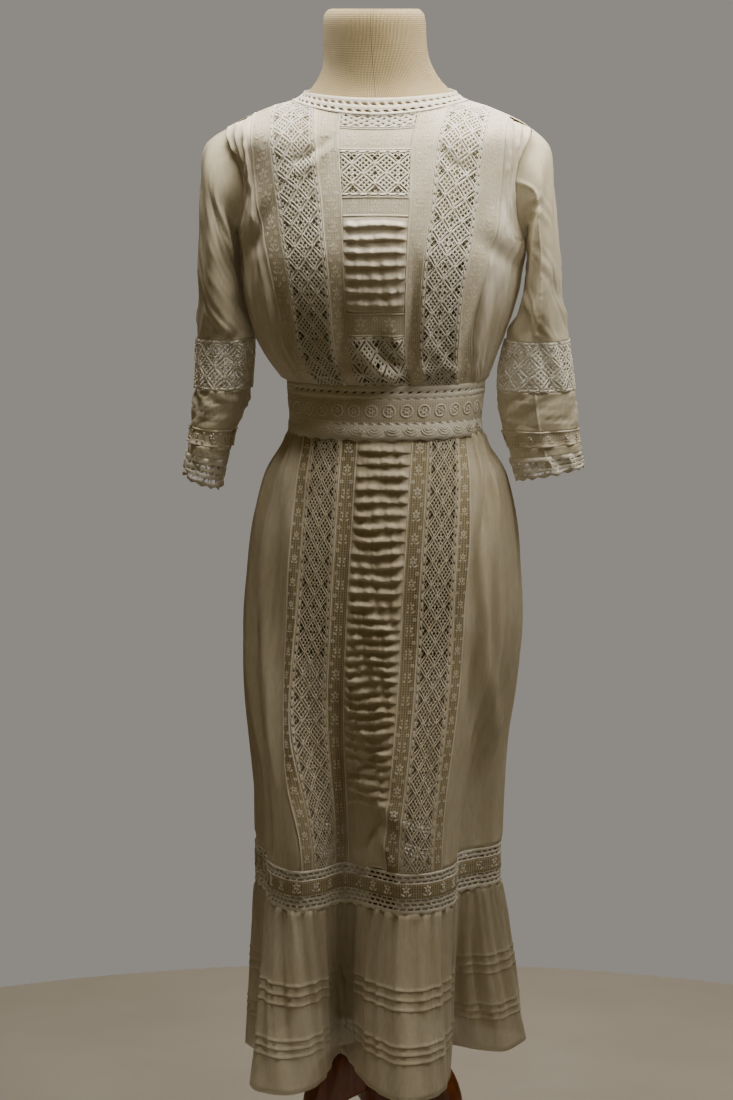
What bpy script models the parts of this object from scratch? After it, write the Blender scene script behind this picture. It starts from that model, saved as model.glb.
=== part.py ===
"""A lawn dress with lace insertions, worn on a limbless dress form with a three-legged wooden stand.

The front of the dress faces -Y, +Z is up, and the origin is on the floor under the dress form.
Every cloth piece is a closed wall: its outer points follow the garment's surface, raised where it
has tucks or thick lace, and its inner points lie plain, one cloth thickness inside that surface.
"""
import bisect
import math
from collections import namedtuple

import bmesh
import bpy
from mathutils import Vector

# Cloth
CLOTH = 0.0014
SEAM_GAP = 0.00035
LACE_RISE = 0.0006
TUCK_RISE = 0.0024
TUCK_STEP = 0.0015

# Heights above the floor
WAIST_TOP = 1.042
FOLDS_START = 0.780
KNEE_TOP = 0.482
KNEE_BOTTOM = 0.435
HEM = 0.228
TORSO_END = 0.715

# A section of the bodice or of the dress form: heights at the front, side and back of the ring,
# half its width, how far it reaches to the front and to the back, and its shift along X
Section = namedtuple("Section", "name front_z side_z back_z half_width front back shift")

BODICE = (
    Section("waist", 1.042, 1.042, 1.042, 0.117, 0.093, 0.086, 0.004),
    Section("blouse", 1.080, 1.080, 1.080, 0.139, 0.112, 0.100, -0.003),
    Section("ribs", 1.134, 1.134, 1.134, 0.158, 0.126, 0.108, -0.002),
    Section("bust", 1.185, 1.180, 1.182, 0.165, 0.131, 0.110, 0.000),
    Section("underarm", 1.222, 1.205, 1.214, 0.167, 0.127, 0.109, 0.000),
    Section("chest", 1.264, 1.252, 1.262, 0.170, 0.118, 0.106, 0.000),
    Section("yoke", 1.296, 1.300, 1.306, 0.176, 0.108, 0.100, -0.002),
    Section("shoulder_tip", 1.322, 1.334, 1.338, 0.178, 0.099, 0.092, -0.004),
    Section("shoulder", 1.338, 1.357, 1.361, 0.136, 0.091, 0.083, -0.004),
    Section("neck_seam", 1.354, 1.3685, 1.374, 0.100, 0.084, 0.076, -0.003),
    Section("neck_edge", 1.3715, 1.3775, 1.389, 0.088, 0.075, 0.068, -0.003),
)
UNDERARM = 4
SHOULDER_TIP = 7
NECK_SEAM = 9
BODICE_TOP = 8.91
NECK_EDGE = 10
LOW_SECTIONS = (0.5, 1.0, 1.7, 2.4, 3.2)
BACK_TOP_SECTIONS = (7.7, 8.4, BODICE_TOP)

# The dress form under the bodice: which bodice section, and how far inside the cloth's face it lies
Inset = namedtuple("Inset", "section depth")
FORM_COLUMNS = 32
FORM_INSETS = (
    Inset(10.0, 0.0020), Inset(9.5, 0.0021), Inset(9.0, 0.0050), Inset(8.3, 0.0095),
    Inset(7.6, 0.0105), Inset(7.0, 0.0130), Inset(6.0, 0.0145), Inset(4.7, 0.0160),
    Inset(3.0, 0.0190), Inset(2.0, 0.0200), Inset(1.0, 0.0180), Inset(0.0, 0.0105),
)
FORM_NECK = (
    Section("block_top", 1.4735, 1.4735, 1.4735, 0.053, 0.051, 0.051, -0.010),
    Section("block_edge", 1.4640, 1.4640, 1.4640, 0.0595, 0.0575, 0.0575, -0.010),
    Section("neck", 1.4300, 1.4300, 1.4300, 0.0605, 0.0585, 0.0580, -0.009),
    Section("neck_low", 1.3960, 1.4060, 1.4120, 0.0640, 0.0610, 0.0590, -0.006),
    Section("neck_flare", 1.3790, 1.3860, 1.3950, 0.0760, 0.0665, 0.0615, -0.004),
)
FORM_HIPS = (
    Section("form_waist", 1.000, 1.000, 1.000, 0.1045, 0.0840, 0.0760, 0.004),
    Section("form_waist_low", 0.960, 0.960, 0.960, 0.1130, 0.0890, 0.0830, 0.003),
    Section("form_high_hip", 0.905, 0.905, 0.905, 0.1330, 0.0980, 0.1010, 0.002),
    Section("form_hip", 0.850, 0.850, 0.850, 0.1450, 0.1030, 0.1110, 0.001),
    Section("form_thigh", 0.790, 0.790, 0.790, 0.1460, 0.1030, 0.1120, 0.000),
    Section("form_end_edge", 0.735, 0.735, 0.735, 0.1400, 0.0990, 0.1060, 0.000),
    Section("form_end_round", 0.720, 0.720, 0.720, 0.1340, 0.0940, 0.1000, 0.000),
    Section("form_end", TORSO_END, TORSO_END, TORSO_END, 0.1250, 0.0860, 0.0910, 0.000),
)

# Where the bodice's strips end, as distances from the centre front line, which itself wanders
StripEdges = namedtuple("StripEdges", "section centre panel inner_val cluny outer_val")
BODICE_STRIPS = (
    StripEdges(0.0, 0.006, 0.030, 0.045, 0.082, 0.097),
    StripEdges(3.0, 0.000, 0.035, 0.056, 0.104, 0.127),
    StripEdges(5.5, 0.000, 0.039, 0.067, 0.118, 0.144),
    StripEdges(9.0, 0.005, 0.044, 0.078, 0.130, 0.153),
)

# Share of a bodice strip over which its lace rises above its neighbour
STRIP_EDGE_SHARE = 0.05

# The bodice's centre panel: heights of its lace seams, and its row of tucks
PANEL_LACE_SEAMS = (1.338, 1.313, 1.262, 1.239, 1.129, 1.101)
PANEL_SEAMS_UNDER_WIDE_LACE = (0, 2, 5)
PANEL_TUCK_TOP = 1.232
PANEL_TUCK_COUNT = 8
PANEL_TUCK_SPACING = 0.0135
PANEL_COLUMNS = 4
LACE_EDGE_STEP = 0.0006

# The armhole, as an ellipse on the bodice: its sections and its half width in degrees
ARMHOLE_HALF_ANGLE = 24.0
ARMHOLE_STEPS = 7
ARMHOLE_MIDDLE = (UNDERARM + SHOULDER_TIP) / 2
ARMHOLE_REACH = (SHOULDER_TIP - UNDERARM) / 2

# Vertical tucks that run down from each shoulder beside the armhole
SHOULDER_TUCK_COLUMNS = (1, 3, 5)
SHOULDER_TUCK_ROW = 2
SIDE_FRONT_COLUMNS = 7
BACK_COLUMNS = 6
GATHER_WAVE = 0.0030
GATHER_ROWS = 3
BACK_GATHER_COLUMNS = (2, 4)

# A ring of a sleeve: distance of its centre from the middle of the dress, its height and set-back,
# how far its outer side reaches sideways and up from that centre, and half its depth
SleeveRing = namedtuple("SleeveRing", "name out height back_set across rise half_depth")
LEFT_SLEEVE = (
    SleeveRing("head", 0.189, 1.264, 0.002, 0.019, 0.048, 0.055),
    SleeveRing("cap", 0.1905, 1.222, 0.004, 0.0215, 0.028, 0.060),
    SleeveRing("upper", 0.1925, 1.180, 0.006, 0.0235, 0.008, 0.062),
    SleeveRing("above_elbow", 0.190, 1.130, 0.006, 0.0265, 0.002, 0.060),
    SleeveRing("lace_top", 0.1860, 1.089, 0.004, 0.0335, 0.000, 0.052),
    SleeveRing("lace_bottom", 0.189, 1.031, 0.000, 0.0320, 0.000, 0.052),
    SleeveRing("forearm", 0.200, 0.985, -0.002, 0.0265, 0.002, 0.052),
    SleeveRing("cuff_top", 0.2065, 0.955, -0.003, 0.0235, 0.004, 0.051),
    SleeveRing("cuff_edge", 0.2130, 0.922, -0.004, 0.0200, 0.008, 0.050),
)
RIGHT_SLEEVE = (
    SleeveRing("head", 0.1825, 1.264, 0.002, 0.0125, 0.048, 0.056),
    SleeveRing("cap", 0.1855, 1.222, 0.004, 0.0160, 0.029, 0.062),
    SleeveRing("upper", 0.1885, 1.180, 0.006, 0.0190, 0.008, 0.064),
    SleeveRing("above_elbow", 0.1870, 1.130, 0.006, 0.0240, 0.002, 0.062),
    SleeveRing("lace_top", 0.1825, 1.089, 0.003, 0.0365, 0.000, 0.050),
    SleeveRing("lace_bottom", 0.1815, 1.031, -0.003, 0.0455, 0.000, 0.042),
    SleeveRing("forearm", 0.1870, 0.985, -0.006, 0.0440, 0.001, 0.038),
    SleeveRing("cuff_top", 0.1935, 0.958, -0.007, 0.0415, 0.004, 0.036),
    SleeveRing("cuff_edge", 0.1985, 0.934, -0.008, 0.0395, 0.008, 0.035),
)
# Where each sleeve piece has its rows, in steps of the tables above from the armhole
SLEEVE_UPPER_ROWS = (0.0, 0.3, 0.7, 1.3, 2.0, 3.0, 4.0, 4.993)
SLEEVE_LACE_ROWS = (5.0, 5.06, 5.94, 6.0)
SLEEVE_LOWER_ROWS = (6.008, 6.9, 7.5, 8.2, 9.0)

# Level rings of the skirt above its folds
SkirtRing = namedtuple("SkirtRing", "height half_width front back shift centre_front")
SKIRT_RINGS = (
    SkirtRing(1.042, 0.117, 0.093, 0.086, 0.004, 0.010),
    SkirtRing(0.975, 0.114, 0.098, 0.088, 0.003, 0.009),
    SkirtRing(0.932, 0.139, 0.110, 0.106, 0.003, 0.007),
    SkirtRing(0.872, 0.154, 0.120, 0.120, 0.002, 0.004),
    SkirtRing(0.800, 0.161, 0.126, 0.129, 0.001, 0.000),
    SkirtRing(0.720, 0.166, 0.130, 0.135, -0.001, -0.003),
    SkirtRing(0.640, 0.166, 0.134, 0.138, -0.003, -0.006),
    SkirtRing(0.560, 0.160, 0.138, 0.138, -0.004, -0.008),
    SkirtRing(0.482, 0.150, 0.140, 0.136, -0.005, -0.008),
)

# The large folds, in order from the centre front to the wearer's left, round the back and on to
# the centre front again: where each stands at the knee and at the hem, and how far its hem lifts
Fold = namedtuple("Fold", "name knee_x knee_y hem_x hem_y lift")
FOLDS = (
    Fold("centre_front", -0.008, -0.128, -0.006, -0.165, 0.002),
    Fold("right_lobe", 0.034, -0.163, 0.038, -0.226, 0.000),
    Fold("right_lobe_side", 0.072, -0.148, 0.081, -0.190, 0.000),
    Fold("right_lobe_end", 0.093, -0.105, 0.088, -0.096, 0.004),
    Fold("right_valley", 0.093, -0.054, 0.076, -0.012, 0.008),
    Fold("side_lobe_front", 0.109, -0.030, 0.111, -0.022, 0.006),
    Fold("side_lobe", 0.133, -0.010, 0.150, -0.014, 0.002),
    Fold("right_side", 0.141, 0.026, 0.171, 0.050, 0.004),
    Fold("right_back_valley", 0.112, 0.068, 0.104, 0.078, 0.008),
    Fold("right_back_lobe", 0.098, 0.121, 0.116, 0.178, 0.000),
    Fold("middle_back_valley", 0.046, 0.102, 0.050, 0.088, 0.008),
    Fold("centre_back", 0.000, 0.146, 0.004, 0.222, 0.000),
    Fold("left_back_valley", -0.050, 0.100, -0.046, 0.088, 0.008),
    Fold("left_back_lobe", -0.100, 0.124, -0.112, 0.184, 0.000),
    Fold("left_back_dip", -0.124, 0.066, -0.116, 0.070, 0.007),
    Fold("left_side", -0.153, 0.010, -0.166, 0.006, 0.002),
    Fold("left_dip", -0.136, -0.050, -0.134, -0.072, 0.005),
    Fold("left_lobe_side", -0.122, -0.118, -0.142, -0.176, 0.000),
    Fold("left_lobe", -0.090, -0.158, -0.094, -0.208, 0.000),
    Fold("left_lobe_end", -0.062, -0.142, -0.060, -0.160, 0.002),
    Fold("left_valley", -0.038, -0.106, -0.046, -0.060, 0.009),
)
CENTRE_BACK = 11
RING_SAMPLES = 264
SPLINE_STEPS = 12

# Half widths of the skirt's strips from the centre front: panel, inner lace, wide lace, outer lace
SKIRT_STRIPS = (0.031, 0.053, 0.093, 0.110)
SKIRT_SIDE_COLUMNS = 12
SKIRT_ROWS = (0.9745, 0.953, 0.928, 0.890, 0.840, 0.780, 0.715, 0.650, 0.590, 0.535, 0.4825)
SKIRT_WAVE = 0.0045
WIDE_TUCK_COUNT = 14
WIDE_TUCK_SPACING = 0.0156
FINE_TUCK_COUNT = 16
FINE_TUCK_SPACING = 0.0129
SKIRT_TUCK_TOP = 0.966
SKIRT_PLAIN_END = 0.520
SKIRT_LACE_STEP = 0.0008

# Waistband, knee band and flounce
WAIST_COLUMNS = 60
WAIST_ROWS = (1.0420, 1.0292, 1.0020, 0.97485)
WAIST_HOLE_FRAME = 0.0021
KNEE_ROWS = (0.48215, 0.4775, 0.4685, 0.4665, 0.4510, 0.4490, 0.43485)
KNEE_RAISED_ROWS = (1, 2, 5)
FLOUNCE_TOP = 0.4345
FLOUNCE_GATHER = 0.395
FLOUNCE_WAVE = 0.0026
FLOUNCE_TUCKS = (0.352, 0.341, 0.330, 0.290, 0.281, 0.272)

# Back closing
PLACKET_HALF_WIDTH = 0.010
PLACKET_LIFT = 0.0004
PLACKET_CLEAR = 0.002
BUTTON_RISE = 0.0020
BUTTON_COUNT = 7
BUTTON_HALF = 0.004
FIRST_BUTTON_SHARE = 0.4
PLACKET_SHARES = (0.0, 0.28, 0.72, 1.0)

# Stand
POLE_RADIUS = 0.016
HUB_RADIUS = 0.030
HUB_TOP = 0.262
HUB_BOTTOM = 0.158
LEG_THICKNESS = 0.026
LEG_ANGLES = (65.0, 185.0, -55.0)
LEG_TOP_EDGE = (
    (0.0303, 0.236), (0.060, 0.233), (0.088, 0.214), (0.104, 0.182), (0.109, 0.140),
    (0.118, 0.096), (0.138, 0.060), (0.166, 0.040), (0.194, 0.030), (0.208, 0.016),
)
LEG_BOTTOM_EDGE = (
    (0.206, 0.000), (0.176, 0.000), (0.150, 0.012), (0.118, 0.036), (0.094, 0.070),
    (0.083, 0.110), (0.079, 0.144), (0.062, 0.168), (0.0303, 0.178),
)


def clear_scene():
    """Remove whatever the scene holds."""
    for item in list(bpy.data.objects):
        bpy.data.objects.remove(item, do_unlink=True)


def finish_material(name, colour, roughness, metallic=0.0):
    """Make one plain Principled material from a linear colour."""
    material = bpy.data.materials.new(name)
    material.use_nodes = True
    shader = material.node_tree.nodes["Principled BSDF"]
    shader.inputs["Base Color"].default_value = (*colour, 1.0)
    shader.inputs["Roughness"].default_value = roughness
    shader.inputs["Metallic"].default_value = metallic
    material.diffuse_color = (*colour, 1.0)
    return material


def hermite(before, start, end, after, t):
    """Read a smooth curve through four evenly spaced values, between the middle two."""
    slope_start = (end - before) / 2
    slope_end = (after - start) / 2
    t2 = t * t
    t3 = t2 * t
    return (
        (2 * t3 - 3 * t2 + 1) * start + (t3 - 2 * t2 + t) * slope_start
        + (3 * t2 - 2 * t3) * end + (t3 - t2) * slope_end
    )


def read_rows(rows, position, first_column):
    """Read a table's number columns at a fractional row, smoothly."""
    last = len(rows) - 1
    position = min(max(position, 0.0), float(last))
    row = min(int(position), last - 1)
    picks = [rows[min(max(row + step, 0), last)] for step in (-1, 0, 1, 2)]
    return [hermite(*(pick[column] for pick in picks), position - row)
            for column in range(first_column, len(rows[0]))]


def read_by(rows, value):
    """Read a table's later columns at a value of its first column, in straight steps."""
    ordered = sorted(rows)
    value = min(max(value, ordered[0][0]), ordered[-1][0])
    place = min(max(bisect.bisect_right([row[0] for row in ordered], value), 1), len(ordered) - 1)
    low, high = ordered[place - 1], ordered[place]
    t = (value - low[0]) / (high[0] - low[0])
    return [a + (b - a) * t for a, b in zip(low[1:], high[1:])]


def smooth_by(rows, value):
    """Read a table's later columns at a value of its first column, which may rise or fall, smoothly."""
    ordered = sorted(rows)
    value = min(max(value, ordered[0][0]), ordered[-1][0])
    place = min(max(bisect.bisect_right([row[0] for row in ordered], value), 1), len(ordered) - 1)
    t = (value - ordered[place - 1][0]) / (ordered[place][0] - ordered[place - 1][0])
    return read_rows(ordered, place - 1 + t, 1)


def ease(t):
    """Turn a straight 0 to 1 into a soft start and end."""
    t = min(max(t, 0.0), 1.0)
    return t * t * (3 - 2 * t)


def section_point(values, angle):
    """A point of a section's ring: angle 0 is the front, and positive angles go towards +X."""
    front_z, side_z, back_z, half_width, front, back, shift = values
    sine = math.sin(math.radians(angle))
    cosine = math.cos(math.radians(angle))
    end_z = front_z if cosine > 0 else back_z
    depth = front if cosine > 0 else back
    return Vector((shift + half_width * sine, -depth * cosine, side_z + (end_z - side_z) * cosine ** 2))


def bodice_point(angle, section):
    """The bodice's surface."""
    return section_point(read_rows(BODICE, section, 1), angle)


def surface_normal(surface, across, along, step_across, step_along):
    """The outward normal of a surface that runs anticlockwise seen from above, and upwards."""
    side = surface(across + step_across, along) - surface(across - step_across, along)
    rise = surface(across, along + step_along) - surface(across, along - step_along)
    return side.cross(rise).normalized()


def bodice_normal(angle, section):
    """The bodice's outward normal."""
    return surface_normal(bodice_point, angle, min(section, NECK_EDGE - 0.02), 0.5, 0.02)


def add_object(name, form, material, collection):
    """Put a finished bmesh into the model as one object."""
    form.normal_update()
    bmesh.ops.recalc_face_normals(form, faces=form.faces)
    mesh = bpy.data.meshes.new(name)
    form.to_mesh(mesh)
    form.free()
    mesh.materials.append(material)
    item = bpy.data.objects.new(name, mesh)
    collection.objects.link(item)
    return item


def cloth_wall(name, columns, rows, place, material, collection, closed=False):
    """A closed cloth wall over a grid. place(i, j) gives an outer point and the inner one behind it."""
    form = bmesh.new()
    bmesh.ops.create_grid(form, x_segments=columns, y_segments=rows, size=0.5)
    slot = form.verts.layers.int.new("slot")
    inner = []
    for vert in form.verts:
        column = round((vert.co.x + 0.5) * columns)
        row = round((vert.co.y + 0.5) * rows)
        outer_point, inner_point = place(column % columns if closed else column, row)
        vert.co = outer_point
        vert[slot] = len(inner)
        inner.append(inner_point)
    if closed:
        bmesh.ops.remove_doubles(form, verts=form.verts, dist=1e-6)
    pulled = bmesh.ops.extrude_face_region(form, geom=form.faces[:])
    for part in pulled["geom"]:
        if isinstance(part, bmesh.types.BMVert):
            part.co = inner[part[slot]]
    return add_object(name, form, material, collection)


def bodice_wall(angle, section, rise=0.0, wave=0.0):
    """Outer and inner points of the bodice's wall: a rise lifts the outer one, a wave moves both."""
    out = bodice_normal(angle, section)
    point = bodice_point(angle, section) + out * wave
    return point + out * rise, point - out * CLOTH


# Bodice

def strip_angle(section, strip, side):
    """The angle at which a strip of the bodice front ends, strip 0 being the centre front line."""
    row = read_by(BODICE_STRIPS, section)
    half_width = read_rows(BODICE, section, 1)[3]
    edges = [0.0] + row[1:]
    low = int(min(strip, 3))
    reach = edges[low] + (edges[low + 1] - edges[low]) * (strip - low)
    sine = (row[0] + side * reach) / half_width
    return math.degrees(math.asin(min(max(sine, -1.0), 1.0)))


def strip_top(strip, side):
    """The section where a strip's edge meets the neck seam, or the shoulder seam before it."""
    low, high = float(SHOULDER_TIP), BODICE_TOP
    if abs(strip_angle(high, strip, side)) < 89.0:
        return high
    for _ in range(30):
        middle = (low + high) / 2
        if abs(strip_angle(middle, strip, side)) < 89.0:
            low = middle
        else:
            high = middle
    return low


def gap_angle(section):
    """Half a seam gap, as an angle on the bodice."""
    return math.degrees(SEAM_GAP / 2 / read_rows(BODICE, section, 1)[4])


def section_at_height(height):
    """The bodice section whose front lies at a height."""
    low, high = 0.0, float(NECK_EDGE)
    for _ in range(30):
        middle = (low + high) / 2
        if read_rows(BODICE, middle, 1)[0] < height:
            low = middle
        else:
            high = middle
    return low


def armhole_sections():
    """The sections of the armhole's points, from the underarm up to the shoulder tip."""
    return [ARMHOLE_MIDDLE - ARMHOLE_REACH * math.cos(math.pi * step / ARMHOLE_STEPS)
            for step in range(ARMHOLE_STEPS + 1)]


def armhole_angle(section):
    """How far the armhole's edge lies from the side seam, in degrees."""
    reach = (section - ARMHOLE_MIDDLE) / ARMHOLE_REACH
    return ARMHOLE_HALF_ANGLE * math.sqrt(max(1.0 - reach * reach, 0.0))


def front_rows():
    """The sections of the front's rows along the side seam and the armhole."""
    return [section_at_height(WAIST_TOP + SEAM_GAP), *LOW_SECTIONS, *armhole_sections()]


def front_section(row, top):
    """The section of a front row in a column that ends at a given top section."""
    section = front_rows()[row]
    if section <= UNDERARM:
        return section
    return UNDERARM + (top - UNDERARM) * (section - UNDERARM) / (SHOULDER_TIP - UNDERARM)


def panel_edge_angle(section, side):
    """The centre panel's edge, which runs straight between the rows of the lace beside it."""
    rows = [front_section(row, strip_top(1.0, side)) for row in range(len(front_rows()))]
    corners = [bodice_point(strip_angle(row, 1.0, side), row) for row in rows]
    height = bodice_point(strip_angle(section, 1.0, side), section).z
    place = min(max(bisect.bisect_right([corner.z for corner in corners], height), 1), len(rows) - 1)
    low = corners[place - 1]
    high = corners[place]
    across = low.x + (high.x - low.x) * (height - low.z) / (high.z - low.z)
    values = read_rows(BODICE, section, 1)
    return math.degrees(math.asin((across - values[6]) / values[3]))


def make_bodice_panel(material, collection):
    """The centre front panel: bands of lace above and below a row of horizontal tucks."""
    levels = [(WAIST_TOP + SEAM_GAP, 0.0)]
    levels += [(bodice_point(0, section).z, 0.0) for section in LOW_SECTIONS[:2]]
    for index in range(PANEL_TUCK_COUNT):
        ridge = PANEL_TUCK_TOP - index * PANEL_TUCK_SPACING
        levels += [(ridge, TUCK_RISE), (ridge - TUCK_STEP, 0.0)]
    for index, seam in enumerate(PANEL_LACE_SEAMS):
        raised_above = index in PANEL_SEAMS_UNDER_WIDE_LACE
        levels += [(seam + LACE_EDGE_STEP, LACE_RISE if raised_above else 0.0)]
        levels += [(seam - LACE_EDGE_STEP, 0.0 if raised_above else LACE_RISE)]
    levels.sort()
    sections = [section_at_height(level[0]) for level in levels] + [BODICE_TOP]
    rises = [level[1] for level in levels] + [LACE_RISE]
    columns = PANEL_COLUMNS

    def place(column, row):
        section = sections[row]
        side = -1 if column < columns / 2 else 1
        strip = abs(column - columns / 2) / (columns / 2)
        if strip == 1.0:
            angle = panel_edge_angle(section, side) - side * 2 * gap_angle(section)
        else:
            angle = strip_angle(section, strip, side)
        return bodice_wall(angle, section, rises[row])

    cloth_wall("bodice_panel", columns, len(sections) - 1, place, material, collection)


def make_bodice_insertion(name, side, material, collection):
    """Narrow lace, wide lace and narrow lace joined edge to edge, from the waist to the shoulder."""
    step = STRIP_EDGE_SHARE
    stops = (
        (1.0, 0.0), (2.0 - step, 0.0), (2.0 + step, LACE_RISE), (2.5, LACE_RISE),
        (3.0 - step, LACE_RISE), (3.0 + step, 0.0), (4.0, 0.0),
    )
    rows = len(front_rows()) - 1

    def place(column, row):
        strip, rise = stops[column if side > 0 else len(stops) - 1 - column]
        section = front_section(row, strip_top(strip, side))
        angle = strip_angle(section, strip, side)
        if strip == 1.0:
            angle += side * gap_angle(section)
        if strip == 4.0:
            angle -= side * gap_angle(section)
        angle = min(max(angle, -90 + gap_angle(section)), 90 - gap_angle(section))
        return bodice_wall(angle, section, rise if 0 < row < rows else 0.0)

    cloth_wall(name, len(stops) - 1, rows, place, material, collection)


def make_side_front(name, side, material, collection):
    """The lawn between the lace and the side seam, with three tucks from the shoulder."""
    outer_rows = front_rows()
    first_arm_row = len(LOW_SECTIONS) + 1
    last = len(outer_rows) - 1
    inner_top = strip_top(4.0, side)
    columns = SIDE_FRONT_COLUMNS

    def place(column, row):
        t = column / columns if side > 0 else 1 - column / columns
        outer_section = outer_rows[row]
        inner_section = front_section(row, inner_top)
        section = inner_section + (outer_section - inner_section) * t
        gap = gap_angle(section)
        start = abs(strip_angle(section, 4.0, side)) + gap
        end = 90 - armhole_angle(outer_section) - gap
        angle = start + (end - start) * t
        if row == last:
            angle = min(angle, 90 - gap)
        step = round(t * columns)
        rise = 0.0
        above_tuck_end = row - first_arm_row - SHOULDER_TUCK_ROW
        if above_tuck_end > 0 and step in SHOULDER_TUCK_COLUMNS:
            rise = TUCK_RISE * ease(above_tuck_end / 2)
        wave = GATHER_WAVE if 0 < row <= GATHER_ROWS and step % 2 == 1 else 0.0
        return bodice_wall(side * angle, section, rise, wave)

    cloth_wall(name, columns, last, place, material, collection)


def back_sections():
    """The sections of the bodice back's rows, from the waist to the neck seam."""
    return [section_at_height(WAIST_TOP + SEAM_GAP), *LOW_SECTIONS, *armhole_sections(), *BACK_TOP_SECTIONS]


def make_bodice_back(name, side, material, collection):
    """Half the bodice back, gathered a little into the waist."""
    sections = back_sections()
    columns = BACK_COLUMNS

    def place(column, row):
        step = column if side < 0 else columns - column
        section = sections[row]
        gap = gap_angle(section)
        notch = armhole_angle(section) if UNDERARM <= section <= SHOULDER_TIP else 0.0
        start = 90 + notch + gap
        end = 180 - gap
        angle = end + (start - end) * step / columns
        wave = GATHER_WAVE if 0 < row <= GATHER_ROWS and step in BACK_GATHER_COLUMNS else 0.0
        return bodice_wall(side * angle, section, 0.0, wave)

    cloth_wall(name, columns, len(sections) - 1, place, material, collection)


def make_placket(material, collection):
    """The narrow strip that laps over the back opening, with its small round buttons sewn on."""
    sections = back_sections()
    heights = [bodice_point(180, section).z for section in sections]
    levels = {height: False for height in [heights[0] + PLACKET_CLEAR, *heights[1:]]}
    spacing = (heights[-1] - heights[0]) / BUTTON_COUNT
    for button in range(BUTTON_COUNT):
        middle = heights[-1] - spacing * (button + FIRST_BUTTON_SHARE)
        levels[middle + BUTTON_HALF] = True
        levels[middle - BUTTON_HALF] = True
    rows = sorted(levels)
    shares = PLACKET_SHARES

    def place(column, row):
        height = rows[row]
        segment = min(max(bisect.bisect_right(heights, height), 1), len(heights) - 1)
        t = (height - heights[segment - 1]) / (heights[segment] - heights[segment - 1])
        points = []
        for section in (sections[segment - 1], sections[segment]):
            reach = math.degrees(PLACKET_HALF_WIDTH / read_rows(BODICE, section, 1)[5])
            angle = 180 - reach + 2 * reach * shares[column]
            points.append((bodice_point(angle, section), bodice_normal(angle, section)))
        point = points[0][0].lerp(points[1][0], t)
        out = points[0][1].lerp(points[1][1], t)
        is_button = column in (1, 2) and levels[height]
        rise = CLOTH + PLACKET_LIFT + (BUTTON_RISE if is_button else 0.0)
        return point + out * rise, point + out * PLACKET_LIFT

    cloth_wall("back_placket", len(shares) - 1, len(rows) - 1, place, material, collection)


def make_neckband(material, collection):
    """The narrow openwork band round the neck."""
    sections = (NECK_SEAM, 9.5, NECK_EDGE)
    columns = FORM_COLUMNS

    def place(column, row):
        rise = LACE_RISE if row == 1 and column % 2 == 0 else 0.0
        return bodice_wall(360 * column / columns, sections[row], rise)

    cloth_wall("neckband", columns, len(sections) - 1, place, material, collection, closed=True)


# Sleeves

def sleeve_point(rings, side, angle, position):
    """A sleeve's surface: position 0 is the armhole, then one step for each ring of its table."""
    sine = math.sin(math.radians(angle))
    cosine = math.cos(math.radians(angle))
    armhole = ARMHOLE_MIDDLE + ARMHOLE_REACH * cosine
    seat_angle = side * (90 - ARMHOLE_HALF_ANGLE * sine)
    seat = bodice_point(seat_angle, armhole) + bodice_normal(seat_angle, armhole) * (CLOTH + SEAM_GAP) * 0.5
    points = [seat]
    for ring in rings:
        out = ring.out + ring.across * cosine
        points.append(Vector((side * out, ring.back_set - ring.half_depth * sine, ring.height + ring.rise * cosine)))
    last = len(points) - 1
    position = min(max(position, 0.0), float(last))
    row = min(int(position), last - 1)
    picks = [points[min(max(row + step, 0), last)] for step in (-1, 0, 1, 2)]
    return Vector([hermite(*(pick[axis] for pick in picks), position - row) for axis in range(3)])


def make_sleeve_piece(name, rings, side, positions, raise_by, material, collection):
    """One stretch of a sleeve, a tube between two of its seams."""
    columns = 2 * ARMHOLE_STEPS

    def surface(angle, position):
        return sleeve_point(rings, side, angle, position)

    def place(column, row):
        angle = 360 * column / columns
        position = positions[row]
        point = surface(angle, position)
        around = surface(angle + 2, position) - surface(angle - 2, position)
        down = surface(angle, position + 0.05) - surface(angle, position - 0.05)
        out = around.cross(down).normalized() * side
        if position < 0.2:
            middle = sum((surface(360 * k / columns, 0) for k in range(columns)), Vector()) / columns
            seat_angle = side * (90 - ARMHOLE_HALF_ANGLE * math.sin(math.radians(angle)))
            seat = ARMHOLE_MIDDLE + ARMHOLE_REACH * math.cos(math.radians(angle))
            plane = bodice_normal(seat_angle, seat)
            radial = point - middle
            out = (radial - plane * radial.dot(plane)).normalized()
            return point + out * CLOTH * 1.1, point
        rise = raise_by if 0 < row < len(positions) - 1 else 0.0
        return point + out * rise, point - out * CLOTH

    cloth_wall(name, columns, len(positions) - 1, place, material, collection, closed=True)


# Skirt

def closed_spline(points, samples):
    """Read a smooth closed curve through points, evenly in its own parameter."""
    count = len(points)
    result = []
    for index in range(samples + 1):
        position = index / samples * count
        row = int(position) % count
        picks = [points[(row + step) % count] for step in (-1, 0, 1, 2)]
        result.append(tuple(hermite(*(pick[axis] for pick in picks), position - int(position))
                            for axis in range(len(points[0]))))
    return result


def travelled(points):
    """The distance walked along a line of points, at each of them."""
    total = [0.0]
    for start, end in zip(points, points[1:]):
        total.append(total[-1] + math.dist(start[:2], end[:2]))
    return total


def by_share(points, start, end, share):
    """The point at a share of the distance between two places of a line of points."""
    piece = points[start:end + 1]
    total = travelled(piece)
    goal = share * total[-1]
    place = min(max(bisect.bisect_right(total, goal), 1), len(total) - 1)
    t = (goal - total[place - 1]) / (total[place] - total[place - 1])
    return [a + (b - a) * t for a, b in zip(piece[place - 1], piece[place])]


KNEE_LINE = closed_spline([(fold.knee_x, fold.knee_y, fold.hem_x, fold.hem_y, fold.lift) for fold in FOLDS],
                          SPLINE_STEPS * len(FOLDS))


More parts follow.
